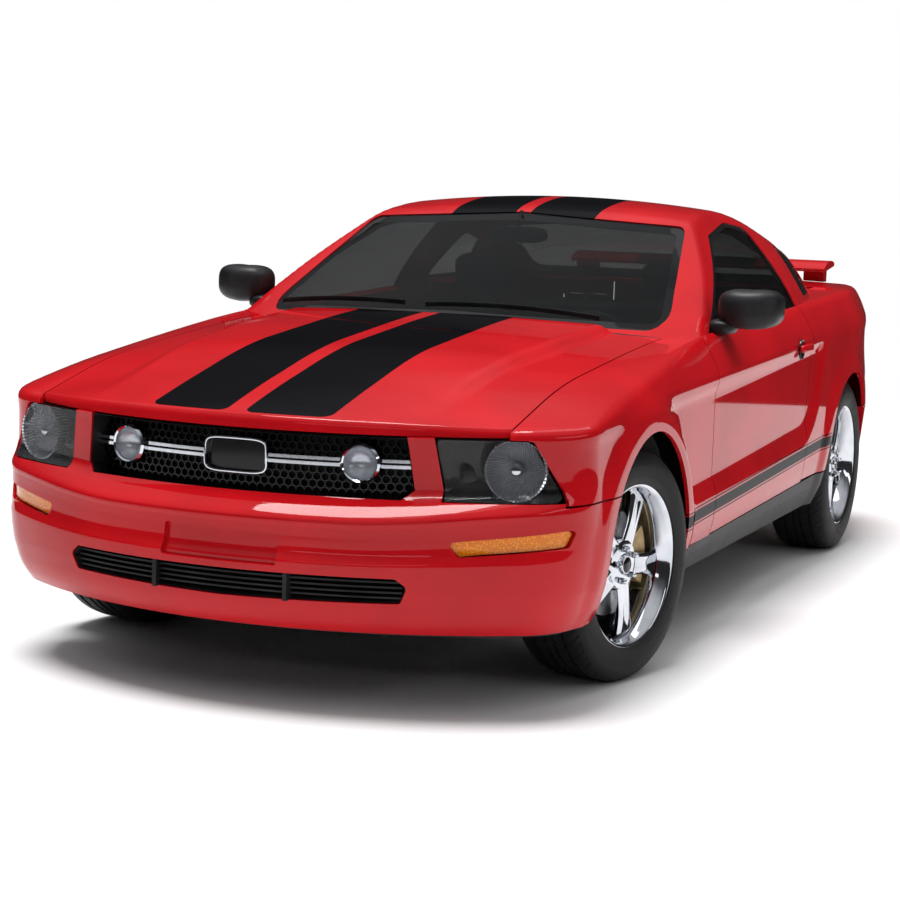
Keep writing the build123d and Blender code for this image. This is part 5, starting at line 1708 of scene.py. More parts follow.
def nose_tray(name, shapes, depth, material, side=1, whole=False):
    """Dark hollow behind an opening in the nose."""
    bm = sheet(shapes, cell=TRIM_CELL)
    bm, _ = skin(bm, sunk(bumper_point, TRAY_INSET), side, thickness=depth, whole=whole)
    outer = bm.faces.layers.int.get("outer")
    bmesh.ops.delete(bm, geom=[face for face in bm.faces if face[outer] == 1], context="FACES")
    bmesh.ops.reverse_faces(bm, faces=bm.faces)
    add_piece(name, bm, "shell", material)


def on_left(point, side):
    """A point given for the left side, or its mirror image for side -1."""
    return Vector((point[0], point[1] * side, point[2]))


def make_headlamps():
    """Headlamps: black housing, round fluted reflector with a bright ring, and clear lens."""
    flat = on_bumper(loop_of(HEADLAMP, HEADLAMP_CORNERS))
    black, clear, bright = finish(gloss_black), finish(lamp_glass), finish(chrome)
    for side, word in SIDES:
        axis, centre = on_left(HEADLAMP_AXIS, side), on_left(HEADLAMP_CENTRE, side)
        nose_tray(word + "headlamp_housing", flat, HEADLAMP_DEPTH, black, side)
        inner = sunk(bumper_point, LENS_INSET)
        glass, normals = skin(sheet(flat), inner, side, thickness=LENS_THICKNESS)
        replaced = ["front_lamps"] if side > 0 else []
        add_piece(word + "headlamp_lens", glass, "shell", clear, replaced, normals)
        bowl = turned(HEADLAMP_BOWL, centre, axis, 72, closed=True)
        rays = finish(fluted_reflector)
        add_piece(word + "headlamp_reflector", bowl, "shell", rays)
        shield = turned(SHIELD_PROFILE, centre, axis, 32)
        add_piece(word + "headlamp_shield", shield, "shell", bright)
        marker = turned(MARKER_PROFILE, on_left(MARKER_CENTRE, side), axis, 32)
        add_piece(word + "side_marker", marker, "shell", black)


def make_turn_lamps():
    """Amber lamps let into the bumper, under a lip."""
    flat = on_bumper(loop_of(TURN_GLASS, TURN_GLASS_CORNER))
    inner = sunk(bumper_point, TURN_DEPTH)
    for side, word in SIDES:
        glass = sheet(flat, cell=TURN_CELL)
        bm, normals = skin(glass, inner, side, thickness=TURN_DEPTH)
        add_piece(word + "turn_lamp", bm, "shell", finish(amber_lens), (), normals)


def fluted_reflector():
    """Bright bowl with rays about its middle: painted highlight on the flutes' ridges, painted shade in
    their hollows.
    """
    graph = Graph("fluted_reflector")
    _, y, z = HEADLAMP_CENTRE
    out = graph.math("ARCTAN2", graph.z - z, abs(graph.y) - y)
    flutes = abs((out * FLUTES / pi) % 1.0 - 0.5) * 2.0
    return graph.surface(
        # the flute pattern blends painted highlight on the ridges with painted shade in the hollows
        Base_Color=graph.tones(flutes.rise(0.2, 0.8), "fluted_reflector"),
        Metallic=0.8,
        Roughness=flutes * 0.10 + 0.18,
        Normal=graph.bump(flutes, 0.006, 0.8),
    )


# ---- grille -------------------------------------------------------------------------
GRILLE_X = 2.252
GRILLE_Z = 0.691
GRILLE = ((-0.03, 0.764), (0.486, 0.764), (0.503, 0.627), (0.476, 0.603), (-0.03, 0.603))
GRILLE_CORNERS = (0.001, 0.006, 0.012, 0.012, 0.001)
FOG_LAMP_Y = 0.356
FOG_LAMP_REACH = 0.052
LAMP_RING = ((0.046, 0.012), (0.050, 0.016), (0.056, 0.010), (0.058, -0.030), (0.046, -0.030))
LAMP_BOWL = (
    (0.0, -0.030), (0.022, -0.026), (0.040, -0.010), (0.046, 0.004), (0.047, -0.012), (0.030, -0.034),
    (0.0, -0.036),
)
LAMP_PANE = ((0.0, 0.016), (0.025, 0.013), (0.046, 0.006), (0.046, 0.003), (0.025, 0.010), (0.0, 0.013))
FRAME_HALF = 0.098  # half width of the grille's centre frame
BAR_HEIGHT = 0.009
BAR_HEIGHTS = (0.6785, 0.6935)
BAR_SPANS = (  # pieces in it, start from the middle, length
    (12, FRAME_HALF, FOG_LAMP_Y - FOG_LAMP_REACH - FRAME_HALF),
    (6, FOG_LAMP_Y + FOG_LAMP_REACH, 0.080),
)
COMB = 0.0115  # half width of a grille cell
COMB_WALL = 0.0022
COMB_DEPTH = 0.014
COMB_RANGE = (0.492, 0.606, 0.760)  # half width, foot and top
COMB_INSET = 0.135
GRILLE_DEPTH = 0.105
FRAME_BORDER = 0.007
FRAME_BEVEL = 0.0018
FRAME_DEPTH = 0.022
FRAME_POWER = 5.0
BLANK_HALVES = (0.091, 0.043)
BAR_INSET = 0.118
BAR_DEPTH = 0.010
ROUND_LAMP_INSET = 0.100
ROUND_LAMP_TOE = 0.18
LOWER_TRAY = ((-0.03, 0.394), (0.489, 0.394), (0.517, 0.371), (0.498, 0.328), (-0.03, 0.320))
LOWER_TRAY_CORNERS = (0.001, 0.012, 0.012, 0.012, 0.001)
SLAT_HEIGHTS = (0.338, 0.352, 0.366, 0.380)
SLAT_WIDTH = 0.030
SLAT_THICKNESS = 0.005
RIB_Y = 0.20
RIB_Z = 0.357
RIB_SIZE = (0.05, 0.012, 0.074, 1)
SLAT_INSET = 0.055
LOWER_TRAY_DEPTH = 0.080
AIR_DAM_Z = (0.214, 0.240)
AIR_DAM_RUN = (1.86, FRONT_U + 0.03)
AIR_DAM_INSET = 0.016


def nose_back(y, inset):
    """Station on the nose's curve at a distance from the middle, set in."""
    return NOSE_CENTRE[0] + np.sqrt((NOSE_RADIUS - inset) ** 2 - np.square(y))


def honeycomb(width, low, high, skipped):
    """Sheet of six-sided cells with thin walls, in its own XY plane."""
    bm = bmesh.new()
    radius = COMB / cos(pi / 6)
    pitch = radius * 1.5
    across = int(width / (2 * COMB)) + 1
    rows = int((high - low) / pitch) + 1
    for row in range(rows + 1):
        for step in range(-across, across + 1):
            x = (step + 0.5 * (row % 2)) * 2 * COMB
            y = low + row * pitch
            near = any((x - cx) ** 2 + (y - cy) ** 2 < reach**2 for cx, cy, reach in skipped)
            if abs(x) > width or near:
                continue
            matrix = Matrix.Translation((x, y, 0)) @ Matrix.Rotation(pi / 6, 4, "Z")
            bmesh.ops.create_circle(bm, cap_ends=True, segments=6, radius=radius, matrix=matrix)
    bmesh.ops.remove_doubles(bm, verts=bm.verts, dist=1e-4)
    middles = list(bm.faces)
    bmesh.ops.inset_individual(bm, faces=middles, thickness=COMB_WALL)
    bmesh.ops.delete(bm, geom=middles, context="FACES_ONLY")
    return thickened(bm, (0, 0, COMB_DEPTH))


def wrap_nose(bm, inset):
    """Stands a shape drawn in the XY plane up across the nose, bent to its curve."""
    for vert in bm.verts:
        across, up, out = vert.co
        vert.co = (nose_back(across, inset) + out, across, up)
    bmesh.ops.recalc_face_normals(bm, faces=bm.faces)
    return bm


def make_grille():
    """Black honeycomb grille, its chrome centre frame, bars and two round lamps."""
    black, bright = finish(gloss_black), finish(chrome)
    flat = on_bumper(loop_of(GRILLE, GRILLE_CORNERS))
    dark = finish(moulded_black)
    nose_tray("grille_tray", flat, GRILLE_DEPTH, dark, whole=True)
    skipped = [(0, GRILLE_Z, 0.05)] + [(FOG_LAMP_Y * side, GRILLE_Z, 0.056) for side, _ in SIDES]
    comb = wrap_nose(honeycomb(*COMB_RANGE, skipped), COMB_INSET)
    add_piece("grille_honeycomb", comb, "shell", black, ["grille"])
    across, up = (0, 1, 0), (0, 0, 1)
    outline = superellipse(FRAME_HALF, 0.050, FRAME_POWER)
    border = plate(outline, FRAME_DEPTH, FRAME_BORDER, FRAME_BEVEL)
    frames = [placed(border, (GRILLE_X + 0.006, 0.0, GRILLE_Z), across, up)]
    for side, _ in SIDES:
        for cells, start, length in BAR_SPANS:
            for low in BAR_HEIGHTS:
                bar = bmesh.new()
                bmesh.ops.create_grid(bar, x_segments=cells, y_segments=1, size=0.5)
                for vert in bar.verts:
                    y = side * (start + (vert.co.x + 0.5) * length)
                    x = nose_back(y, BAR_INSET) + 0.004
                    vert.co = (x, y, low + (vert.co.y + 0.5) * BAR_HEIGHT)
                frames.append(thickened(bar, (BAR_DEPTH, 0, 0)))
    add_piece("grille_frame", joined(frames), "shell", bright)
    blank = plate(superellipse(*BLANK_HALVES, FRAME_POWER), 0.006)
    blank = placed(blank, (GRILLE_X + 0.004, 0.0, GRILLE_Z), across, up)
    add_piece("grille_blank", blank, "shell", black)
    for side, word in SIDES:
        y = FOG_LAMP_Y * side
        centre = Vector((nose_back(abs(y), ROUND_LAMP_INSET), y, GRILLE_Z))
        axis = (1, ROUND_LAMP_TOE * side, 0)
        ring = turned(LAMP_RING, centre, axis, 64, True)
        add_piece(word + "round_lamp_ring", ring, "shell", bright)
        bowl = turned(LAMP_BOWL, centre, axis, 64)
        add_piece(word + "round_lamp_bowl", bowl, "shell", finish(reflector))
        glass = turned(LAMP_PANE, centre, axis, 64)
        add_piece(word + "round_lamp_glass", glass, "shell", finish(lamp_glass))


def make_lower_grille():
    """Black slats behind the bumper's lower opening, and the air dam under it."""
    black = finish(moulded_black)
    flat = on_bumper(loop_of(LOWER_TRAY, LOWER_TRAY_CORNERS))
    nose_tray("lower_tray", flat, LOWER_TRAY_DEPTH, black, whole=True)
    parts = []
    for height in SLAT_HEIGHTS:
        slat = bmesh.new()
        bmesh.ops.create_grid(slat, x_segments=24, y_segments=1, size=0.5)
        for vert in slat.verts:
            y = vert.co.x
            vert.co = (nose_back(y, SLAT_INSET) + (vert.co.y + 0.5) * SLAT_WIDTH, y, height)
        parts.append(thickened(slat, (0, 0, SLAT_THICKNESS)))
    for y in (-RIB_Y, RIB_Y):
        rib = bmesh.new()
        place = Matrix.Translation((nose_back(RIB_Y, 0.03), y, RIB_Z))
        bmesh.ops.create_cube(rib, size=1.0, matrix=place @ Matrix.Diagonal(RIB_SIZE))
        parts.append(rib)
    add_piece("lower_slats", joined(parts), "shell", black)
    u = np.linspace(*AIR_DAM_RUN, 60)
    low, high = AIR_DAM_Z
    outline = np.concatenate([pairs(u, low + 0 * u), pairs(u[::-1], high + 0 * u)])
    dam = sheet(outline, cell=TRIM_CELL)
    bm, normals = skin(dam, sunk(bumper_point, AIR_DAM_INSET), thickness=0.01, whole=True)
    add_piece("air_dam", bm, "shell", black, (), normals)


# ---- wheels -------------------------------------------------------------------------
# Wheel's own frame: its axle along Z, its outer side up.
TYRE_PROFILE = (
    (0.2345, 0.098), (0.244, 0.112), (0.262, 0.1165), (0.290, 0.1175), (0.315, 0.114), (0.333, 0.104),
    (0.3425, 0.090), (0.3455, 0.070), (0.346, 0.058), (0.339, 0.056), (0.339, 0.049), (0.346, 0.047),
    (0.346, 0.020), (0.339, 0.018), (0.339, 0.011), (0.346, 0.009), (0.346, -0.009), (0.339, -0.011),
    (0.339, -0.018), (0.346, -0.020), (0.346, -0.047), (0.339, -0.049), (0.339, -0.056), (0.346, -0.058),
    (0.3455, -0.070), (0.3425, -0.090), (0.333, -0.104), (0.315, -0.114), (0.290, -0.1175),
    (0.262, -0.1165), (0.244, -0.112), (0.2345, -0.098),
)
RIM_PROFILE = (
    (0.2345, 0.098), (0.246, 0.104), (0.246, 0.107), (0.240, 0.1075), (0.233, 0.103), (0.2285, 0.094),
    (0.222, 0.086), (0.214, 0.070), (0.206, 0.040), (0.203, -0.020), (0.210, -0.060), (0.226, -0.092),
    (0.238, -0.104), (0.246, -0.106), (0.2345, -0.096), (0.212, -0.050), (0.212, 0.050), (0.226, 0.088),
)
HUB_PROFILE = (
    (0.0, 0.086), (0.026, 0.086), (0.029, 0.083), (0.030, 0.076), (0.034, 0.075), (0.052, 0.076),
    (0.072, 0.072), (0.080, 0.062), (0.082, 0.040), (0.0, 0.040),
)
DISC_PROFILE = (
    (0.060, 0.024), (0.157, 0.024), (0.158, 0.023), (0.158, 0.014), (0.150, 0.013), (0.150, 0.007),
    (0.158, 0.006), (0.158, -0.003), (0.157, -0.004), (0.060, -0.004),
)
NUT_PROFILE = (
    (0.0, 0.098), (0.004, 0.0975), (0.0075, 0.095), (0.0095, 0.090), (0.0105, 0.078), (0.0, 0.078),
)
CAP_PROFILE = ((0.0, 0.0895), (0.020, 0.0885), (0.024, 0.0860), (0.024, 0.080), (0.0, 0.080))
NUT_CIRCLE = 0.050
SPOKE_START = 0.060
SPOKE_LENGTH = 0.158
SPOKE_HALF = 0.030
SPOKE_FLARE = 0.016
SPOKE_Z = 0.073
SPOKE_FLAT = 0.6  # share of its half width before its edges fall away
SPOKE_DEPTH = 0.034
SPOKE_BACK_SHARE = 0.72
TREAD_BLOCKS = 36.0
TREAD_SLANT = 26.0
LINER_CLEARANCE = 0.016
LINER_START = 0.10  # radians under the axle's level


def hub_of(name):
    """Centre and axle direction of a wheel at rest, pointing outward."""
    node = frame["nodes"][name]
    points = [node.matrix_world @ vert.co for vert in node.data.vertices]
    cloud = np.array([point[:] for point in points])
    centre = (cloud.min(axis=0) + cloud.max(axis=0)) / 2
    spread = np.linalg.eigh(np.cov((cloud - cloud.mean(axis=0)).T))
    axis = spread[1][:, 0]
    axis = axis * (1 if axis[1] * centre[1] > 0 else -1)
    return Vector(centre), Vector(axis)


def spoke():
    """One wide spoke that flares towards the rim, in the wheel's own frame."""
    bm = bmesh.new()
    bmesh.ops.create_grid(bm, x_segments=6, y_segments=14, size=0.5)
    for vert in bm.verts:
        across, along = vert.co.x * 2, vert.co.y + 0.5
        radius = SPOKE_START + along * SPOKE_LENGTH
        half = SPOKE_HALF + 0.004 * (1 - along) + SPOKE_FLARE * max(0.0, along - 0.45) ** 1.5 / 0.41
        height = SPOKE_Z + 0.006 * along - 0.012 * along**2
        fall = 0.0055 * max(0.0, abs(across) - SPOKE_FLAT) / 0.4
        height -= fall + 0.004 * (1 - min(1.0, abs(across) / SPOKE_FLAT))
        vert.co = (across * half, sqrt(radius**2 - (across * half) ** 2), height)
    for vert in verts_in(extruded(bm)):
        vert.co.z -= SPOKE_DEPTH
        vert.co.x *= SPOKE_BACK_SHARE
    bmesh.ops.recalc_face_normals(bm, faces=bm.faces)
    return bevelled(bm, 0.003, 0.8)


def around(bm, count, start):
    """Copies of a shape at even turns about Z."""
    made = []
    for step in range(count):
        twin = bm.copy()
        turn = Matrix.Rotation(start + 2 * pi * step / count, 4, "Z")
        bmesh.ops.transform(twin, matrix=turn, verts=twin.verts)
        made.append(twin)
    bm.free()
    return made


def wheel_part(profile, steps, closed=False):
    """Solid of revolution in the wheel's own frame."""
    return turned(profile, (0, 0, 0), (0, 0, 1), steps, closed)


def lug_nut():
    """Chrome lug nut with a domed end."""
    bm = wheel_part(NUT_PROFILE, 6)
    bmesh.ops.translate(bm, vec=(0, NUT_CIRCLE, 0), verts=bm.verts)
    return bm


def stand_wheel(bm, centre, axis):
    """Moves a shape from the wheel's own frame to its place on the car."""
    turn = Vector((0, 0, 1)).rotation_difference(axis).to_matrix().to_4x4()
    bmesh.ops.transform(bm, matrix=Matrix.Translation(centre) @ turn, verts=bm.verts)
    return bm


def make_wheel(corner):
    """Chrome five-spoke wheel and its tyre, at one corner of the car."""
    centre, axis = hub_of(corner + "_tyre")
    body = corner + "_wheel"
    settings = bpy.context.scene.car_wheels
    rubber = finish(wheel_rubber, corner, centre, axis)
    tyre = stand_wheel(wheel_part(TYRE_PROFILE, 120, True), centre, axis)
    add_piece(corner + "_tyre_rubber", tyre, body, rubber, [corner + "_tyre"])
    parts = [wheel_part(RIM_PROFILE, 120, True), wheel_part(HUB_PROFILE, 80)]
    parts += around(spoke(), settings.spokes, 0.0) + around(lug_nut(), settings.lug_nuts, pi / 5)
    rim = stand_wheel(joined(parts), centre, axis)
    add_piece(corner + "_wheel_chrome", rim, body, finish(chrome), [body])
    disc = stand_wheel(wheel_part(DISC_PROFILE, 90, True), centre, axis)
    add_piece(corner + "_brake_disc", disc, body, finish(brushed_disc))
    cap = stand_wheel(wheel_part(CAP_PROFILE, 48), centre, axis)
    add_piece(corner + "_wheel_cap", cap, body, finish(gloss_black))


def wheel_rubber(corner, centre, axis):
    """Black rubber with tread grooves and fine rings on the wall."""
    graph = Graph(corner + "_rubber")
    place = graph.vector("SUBTRACT", graph.point, tuple(centre), out=0)
    along = graph.vector("DOT_PRODUCT", place, tuple(axis))
    length = graph.vector("LENGTH", place)
    radius = graph.math("SQRT", length * length - along * along)
    lengthwise = Vector((0, 0, 1)).cross(axis).normalized()
    upward = axis.cross(lengthwise).normalized()
    forward = graph.vector("DOT_PRODUCT", place, tuple(lengthwise))
    upright = graph.vector("DOT_PRODUCT", place, tuple(upward))
    turn = graph.math("ARCTAN2", upright, forward)
    slant = (turn * TREAD_BLOCKS / pi + abs(along) * TREAD_SLANT) % 1.0
    groove = slant.between(0.40, 0.60, 0.04) * radius.rise(0.334, 0.3375)
    rings = ((radius * 260.0) % 1.0).between(0.30, 0.60, 0.10) * radius.between(0.262, 0.300, 0.002)
    dust = graph.noise(26.0, 4.0).rise(0.45, 0.8)
    height = groove * -1.0 + rings * 0.12 + graph.noise(1500.0, 2.0) * 0.03
    return graph.surface(
        Base_Color=graph.tones(dust, "wheel_rubber"),
        Roughness=dust * 0.12 + 0.52,
        Specular_IOR_Level=0.2,
        Normal=graph.bump(height, 0.006, 0.9),
    )


def make_arch_liners():
    """Black liners inside the four wheel arches."""
    for x, arch, word, inner in (
        (FRONT_AXLE_X, FRONT_ARCH, "front", 0.50), (REAR_AXLE_X, REAR_ARCH, "rear", 0.60)
    ):
        r = arch + LINER_CLEARANCE
        outline = [(0.180, inner), (r - 0.03, inner), (r, inner + 0.03), (r, 0.86)]
        for side, side_word in SIDES:
            bm = bmesh.new()
            verts = []
            for reach, across in outline:
                foot = x + reach * cos(-LINER_START), across, WHEEL_Z + reach * sin(-LINER_START)
                verts.append(bm.verts.new(foot))
            edges = [bm.edges.new(pair) for pair in zip(verts, verts[1:])]
            turn = dict(cent=(x, 0, WHEEL_Z), axis=(0, -1, 0), angle=pi + 2 * LINER_START, steps=40)
            bmesh.ops.spin(bm, geom=verts + edges, **turn)
            bmesh.ops.recalc_face_normals(bm, faces=bm.faces)
            bmesh.ops.solidify(bm, geom=list(bm.faces), thickness=0.003)
            if side < 0:
                bmesh.ops.scale(bm, vec=(1, -1, 1), verts=bm.verts)
            bmesh.ops.recalc_face_normals(bm, faces=bm.faces)
            name = side_word + word + "_arch_liner"
            add_piece(name, bm, "shell", finish(underbody_coat))


# ---- trim ---------------------------------------------------------------------------
BAND_OPENING = 0.06
TRIM_INSET = 0.003
TRIM_THICKNESS = 0.006
BAND_INSET = 0.005
BAND_THICKNESS = 0.002
MIRROR_PLACE = (0.455, 0.944, 1.058)
MIRROR_HALVES = (0.080, 0.104, 0.066)
MIRROR_POWER = 3.2
HANDLE = (-0.437, 0.9335, 0.878)
HANDLE_HALVES = (0.082, 0.010, 0.015)
CUP_PROFILE = (
    (0.0, 0.0), (0.030, 0.0005), (0.036, 0.002), (0.038, 0.001), (0.038, -0.004), (0.0, -0.004),
)
WIPERS = (((0.755, 0.52), (0.800, -0.08)), ((0.790, -0.16), (0.705, -0.66)))
WIPER_LAYERS = ((0.012, 0.007, 0.010), (0.022, 0.012, 0.006))  # lift, width, height


def drawn_in(outline, distance):
    """A closed outline moved inward by a distance."""
    outline = np.asarray(outline, float)
    ahead = np.roll(outline, -1, axis=0) - np.roll(outline, 1, axis=0)
    ahead = ahead / np.maximum(np.linalg.norm(ahead, axis=1, keepdims=True), 1e-9)
    inward = pairs(-ahead[:, 1], ahead[:, 0])
    middle = outline.mean(axis=0)
    sign = 1.0 if np.sum(inward * (middle - outline)) > 0 else -1.0
    return outline + inward * distance * sign


def make_window_trims():
    """Black surrounds inside the windows' openings."""
    black = finish(gloss_black)
    door = loop_of(DOOR_WINDOW, DOOR_WINDOW_CORNERS)
    quarter = loop_of(QUARTER_WINDOW, QUARTER_WINDOW_CORNERS)
    for side, word in SIDES:
        for name, shape, width in (("door", door, 0.016), ("quarter", quarter, 0.012)):
            ring = sheet(shape, [drawn_in(shape, width)], cell=TRIM_CELL)
            inset = sunk(soft_cab, TRIM_INSET)
            bm, normals = skin(ring, inset, side, thickness=TRIM_THICKNESS)
            add_piece(word + name + "_window_trim", bm, "shell", black, (), normals)
    for name, points, front, width in (
        ("windscreen_band", SCREEN_OPENING, True, 0.034),
        ("rear_window_band", REAR_OPENING, False, 0.028),
    ):
        seen = seen_opening(points, 0.04)
        outer, inner = on_cab(seen, front), on_cab(drawn_in(seen, width * 0.7), front)
        # past the middle, so that the band isn't closed there
        inner[inner[:, 1] > cab_run(inner[:, 0], 0.0), 1] += BAND_OPENING
        ring = sheet(outer, [inner], cell=TRIM_CELL)
        inset = sunk(soft_cab, BAND_INSET)
        bm, normals = skin(ring, inset, thickness=BAND_THICKNESS, whole=True)
        add_piece(name, bm, "shell", black, (), normals)


def soft_block(centre, halves, power=4.0, steps=(32, 18), flat_back=0.0):
    """Soft-cornered block, like a worn bar of soap."""
    bm = bmesh.new()
    bmesh.ops.create_uvsphere(bm, u_segments=steps[0], v_segments=steps[1], radius=1.0)
    for vert in bm.verts:
        place = vert.co.normalized()
        length = sum(abs(value) ** power for value in place) ** (1 / power)
        place = place / length
        if flat_back and place.x < -flat_back:
            place.x = -flat_back
        vert.co = Vector([value * half for value, half in zip(place, halves)]) + Vector(centre)
    bmesh.ops.recalc_face_normals(bm, faces=bm.faces)
    return bm


def make_mirror(side, word):
    """Door mirror: soft black housing on a short stalk, glass behind."""
    housing = soft_block((0, 0, 0), MIRROR_HALVES, MIRROR_POWER, (40, 24), 0.72)
    for vert in housing.verts:
        vert.co.z += 0.06 * vert.co.y
        vert.co.z -= 0.10 * min(vert.co.y, 0.0)
        vert.co.x -= 0.25 * max(vert.co.y, 0.0)
    bmesh.ops.translate(housing, vec=MIRROR_PLACE, verts=housing.verts)
    stalk = soft_block((0.470, 0.858, 0.998), (0.060, 0.045, 0.026), 3.0)
    whole = on_side(joined([housing, stalk]), side)
    glass = plate(superellipse(0.088, 0.052, MIRROR_POWER), 0.002)
    glass = on_side(placed(glass, (0.3965, 0.945, 1.060), (0.16, -1, 0), (0, 0, 1)), side)
    body, black = word + "door", finish(moulded_black, "mirror_black", 1200.0, 0.30)
    add_piece(word + "mirror_housing", whole, body, black, [word + "mirror"])
    add_piece(word + "mirror_glass", glass, body, finish(reflector))


def make_handle(side, word):
    """Body-coloured pull, with a black disc behind it as painted shade of the finger recess."""
    grip = soft_block(HANDLE, HANDLE_HALVES, 4.0)
    for vert in grip.verts:
        vert.co.y += 0.006 * (1 - ((vert.co.x - HANDLE[0]) / HANDLE_HALVES[0]) ** 2)
    # black disc about flush with the door: painted shade for the finger recess
    cup = on_side(turned(CUP_PROFILE, (-0.425, 0.9185, 0.872), (0, 1, 0), 48), side)
    body = word + "door"
    add_piece(word + "handle", on_side(grip, side), body, finish(plain_paint))
    add_piece(word + "handle_cup", cup, body, finish(gloss_black))


def make_wipers():
    """Two wiper arms with their blades, parked along the windscreen's foot."""
    parts = []
    for start, end in WIPERS:
        for lift, width, height in WIPER_LAYERS:
            bm = bmesh.new()
            bmesh.ops.create_grid(bm, x_segments=16, y_segments=1, size=0.5)
            for vert in bm.verts:
                share = vert.co.x + 0.5
                x = start[0] + (end[0] - start[0]) * share
                y = start[1] + (end[1] - start[1]) * share
                z = float(cab_height(np.array([x]), np.array([abs(y)]))[0]) + lift
                vert.co = (x + vert.co.y * width, y, z)
            parts.append(thickened(bm, (0, 0, height)))
    add_piece("wipers", joined(parts), "shell", finish(moulded_black))


# ---- cabin --------------------------------------------------------------------------
PAD_POWER = 4.2
PAD_STEPS = (96, 56)
PAD_CROWN = 0.16
SEAM_DEPTH = 0.007
SEAM_REACH = 0.014
# name, centre at its distance from the middle, half sizes, rake, seams, fill
FRONT_PADS = (
    ("seat_cushion", (-0.085, 0.385, 0.492), (0.285, 0.222, 0.070), -4, (-0.42, 0.42), 0.85),
    ("seat_back", (-0.372, 0.385, 0.760), (0.066, 0.220, 0.262), -22, (-0.45, 0.45), 0.85),
    ("headrest", (-0.480, 0.385, 1.092), (0.042, 0.112, 0.080), -16, (), 0.9),
)
REAR_PADS = (
    ("bench_cushion", (-0.720, 0.272, 0.500), (0.265, 0.258, 0.066), -6, (0.0,), 0.85),
    ("bench_back", (-0.985, 0.272, 0.740), (0.060, 0.258, 0.215), -30, (0.0,), 0.85),
)
HEADREST_ROD = ((0.006, -0.06), (0.006, 0.06))
MIRROR_ROD = ((0.007, -0.05), (0.007, 0.05))
SHELF_CENTRE = (-1.345, 0.0, 0.925)
DOOR_CARD = ((-0.520, 0.410), (0.610, 0.395), (0.610, 0.905), (-0.520, 0.935))


def cushion(name, centre, halves, rake, seams, replaces=()):
    """Crowned leather pad with sewn channels across it and a piped edge, on the shell.

    rake leans it back in degrees, and seams are the channels' places across its width,
    as shares of its half width.
    """
    bm = soft_block((0, 0, 0), halves, PAD_POWER, PAD_STEPS)
    thin = min(range(3), key=lambda axis: halves[axis])
    along = 1
    other = 3 - thin - along
    for vert in bm.verts:
        share = vert.co[along] / halves[along]
        reach = vert.co[other] / halves[other]
        face = vert.co[thin] / halves[thin]
        if face > 0:
            vert.co[thin] += PAD_CROWN * halves[thin] * ((1 - share**2) * (1 - reach**2))
            for seam in seams:
                off = (share - seam) * halves[along]
                fade = min(1.0, 6 * (1 - reach**2))
                vert.co[thin] -= SEAM_DEPTH * max(0.0, 1 - abs(off) / SEAM_REACH) * fade
        edge = max(0.0, 1 - abs(face - 0.35) / 0.10)
        vert.co *= 1 - 0.012 * edge
        vert.co[along] *= 1 - 0.03 * (1 - reach**2)
    turn = Matrix.Rotation(-radians(rake), 4, "Y")
    bmesh.ops.transform(bm, matrix=Matrix.Translation(centre) @ turn, verts=bm.verts)
    bmesh.ops.recalc_face_normals(bm, faces=bm.faces)
    piece = add_piece(name, bm, "shell", finish(leather), replaces)


def make_pads(pads, side, word, node):
    """One seat's pads; the first one stands for the seats' node, on the left side."""
    for name, centre, halves, rake, seams, fill in pads:
        first = side > 0 and name == pads[0][0]
        replaced = [node] if first else ()
        cushion(word + name, on_left(centre, side), halves, rake, seams, replaced)


def make_front_seats():
    """Two front seats: cushion, back and headrest each, on a dark base."""
    bases = []
    for side, word in SIDES:
        make_pads(FRONT_PADS, side, word, "front_seats")
        y = FRONT_PADS[0][1][1] * side
        bases.append(soft_block((-0.10, y, 0.385), (0.24, 0.19, 0.075), 6.0))
        for off in (-0.05, 0.05):
            bases.append(turned(HEADREST_ROD, (-0.462, y + off, 1.005), (-0.3, 0, 1), 12))
    add_piece("seat_bases", joined(bases), "shell", finish(moulded_black))


def make_rear_seat():
    """Rear bench: two cushions and two backs."""
    for side, word in SIDES:
        make_pads(REAR_PADS, side, word, "rear_seat")


def make_inside_mirror():
    """Inside mirror on a stalk under the windscreen's header."""
    body = soft_block((0.165, 0.0, 1.268), (0.016, 0.115, 0.030), 3.0)
    stalk = turned(MIRROR_ROD, (0.150, 0.0, 1.305), (-0.4, 0, 1), 16)
    whole = joined([body, stalk])
    add_piece("inside_mirror", whole, "shell", finish(moulded_black))


def make_cabin_lining():
    """Parcel shelf and the panel behind the rear bench."""
    shelf = soft_block(SHELF_CENTRE, (0.270, 0.600, 0.012), 8.0, (48, 24))
    for vert in shelf.verts:
        vert.co.z += 0.08 * (SHELF_CENTRE[0] - vert.co.x)
    back = soft_block((-1.120, 0.0, 0.735), (0.012, 0.640, 0.215), 8.0, (48, 24))
    whole = joined([shelf, back])
    add_piece("cabin_lining", whole, "shell", finish(moulded_black))


def make_door_card(side, word):
    """Black inner trim of a door, with its armrest and a bright pull."""
    outline = [(-x, z) for x, z in rounded(DOOR_CARD, 0.05, 6)]
    card = plate(outline, 0.007, bevel=0.0015)
    card = placed(card, (0, 0.795, 0), (-1, 0, 0), (0, 0, 1))
    rest = soft_block((0.060, 0.768, 0.690), (0.270, 0.020, 0.032), 4.0)
    whole = on_side(joined([card, rest]), side)
    pull = on_side(soft_block((0.330, 0.782, 0.800), (0.055, 0.008, 0.014), 3.0), side)
    body = word + "door"
    add_piece(word + "door_card", whole, body, finish(moulded_black))
    add_piece(word + "door_pull", pull, body, finish(chrome))


# ---- tail ---------------------------------------------------------------------------
MEDALLION = ((0.0, 0.010), (0.052, 0.008), (0.058, 0.005), (0.060, -0.010), (0.0, -0.010))
MEDALLION_RING = ((0.058, 0.009), (0.061, 0.012), (0.068, 0.009), (0.069, -0.010), (0.058, -0.010))
MEDALLION_AXIS = (-1, 0, 0.05)
MEDALLION_Z = 0.885


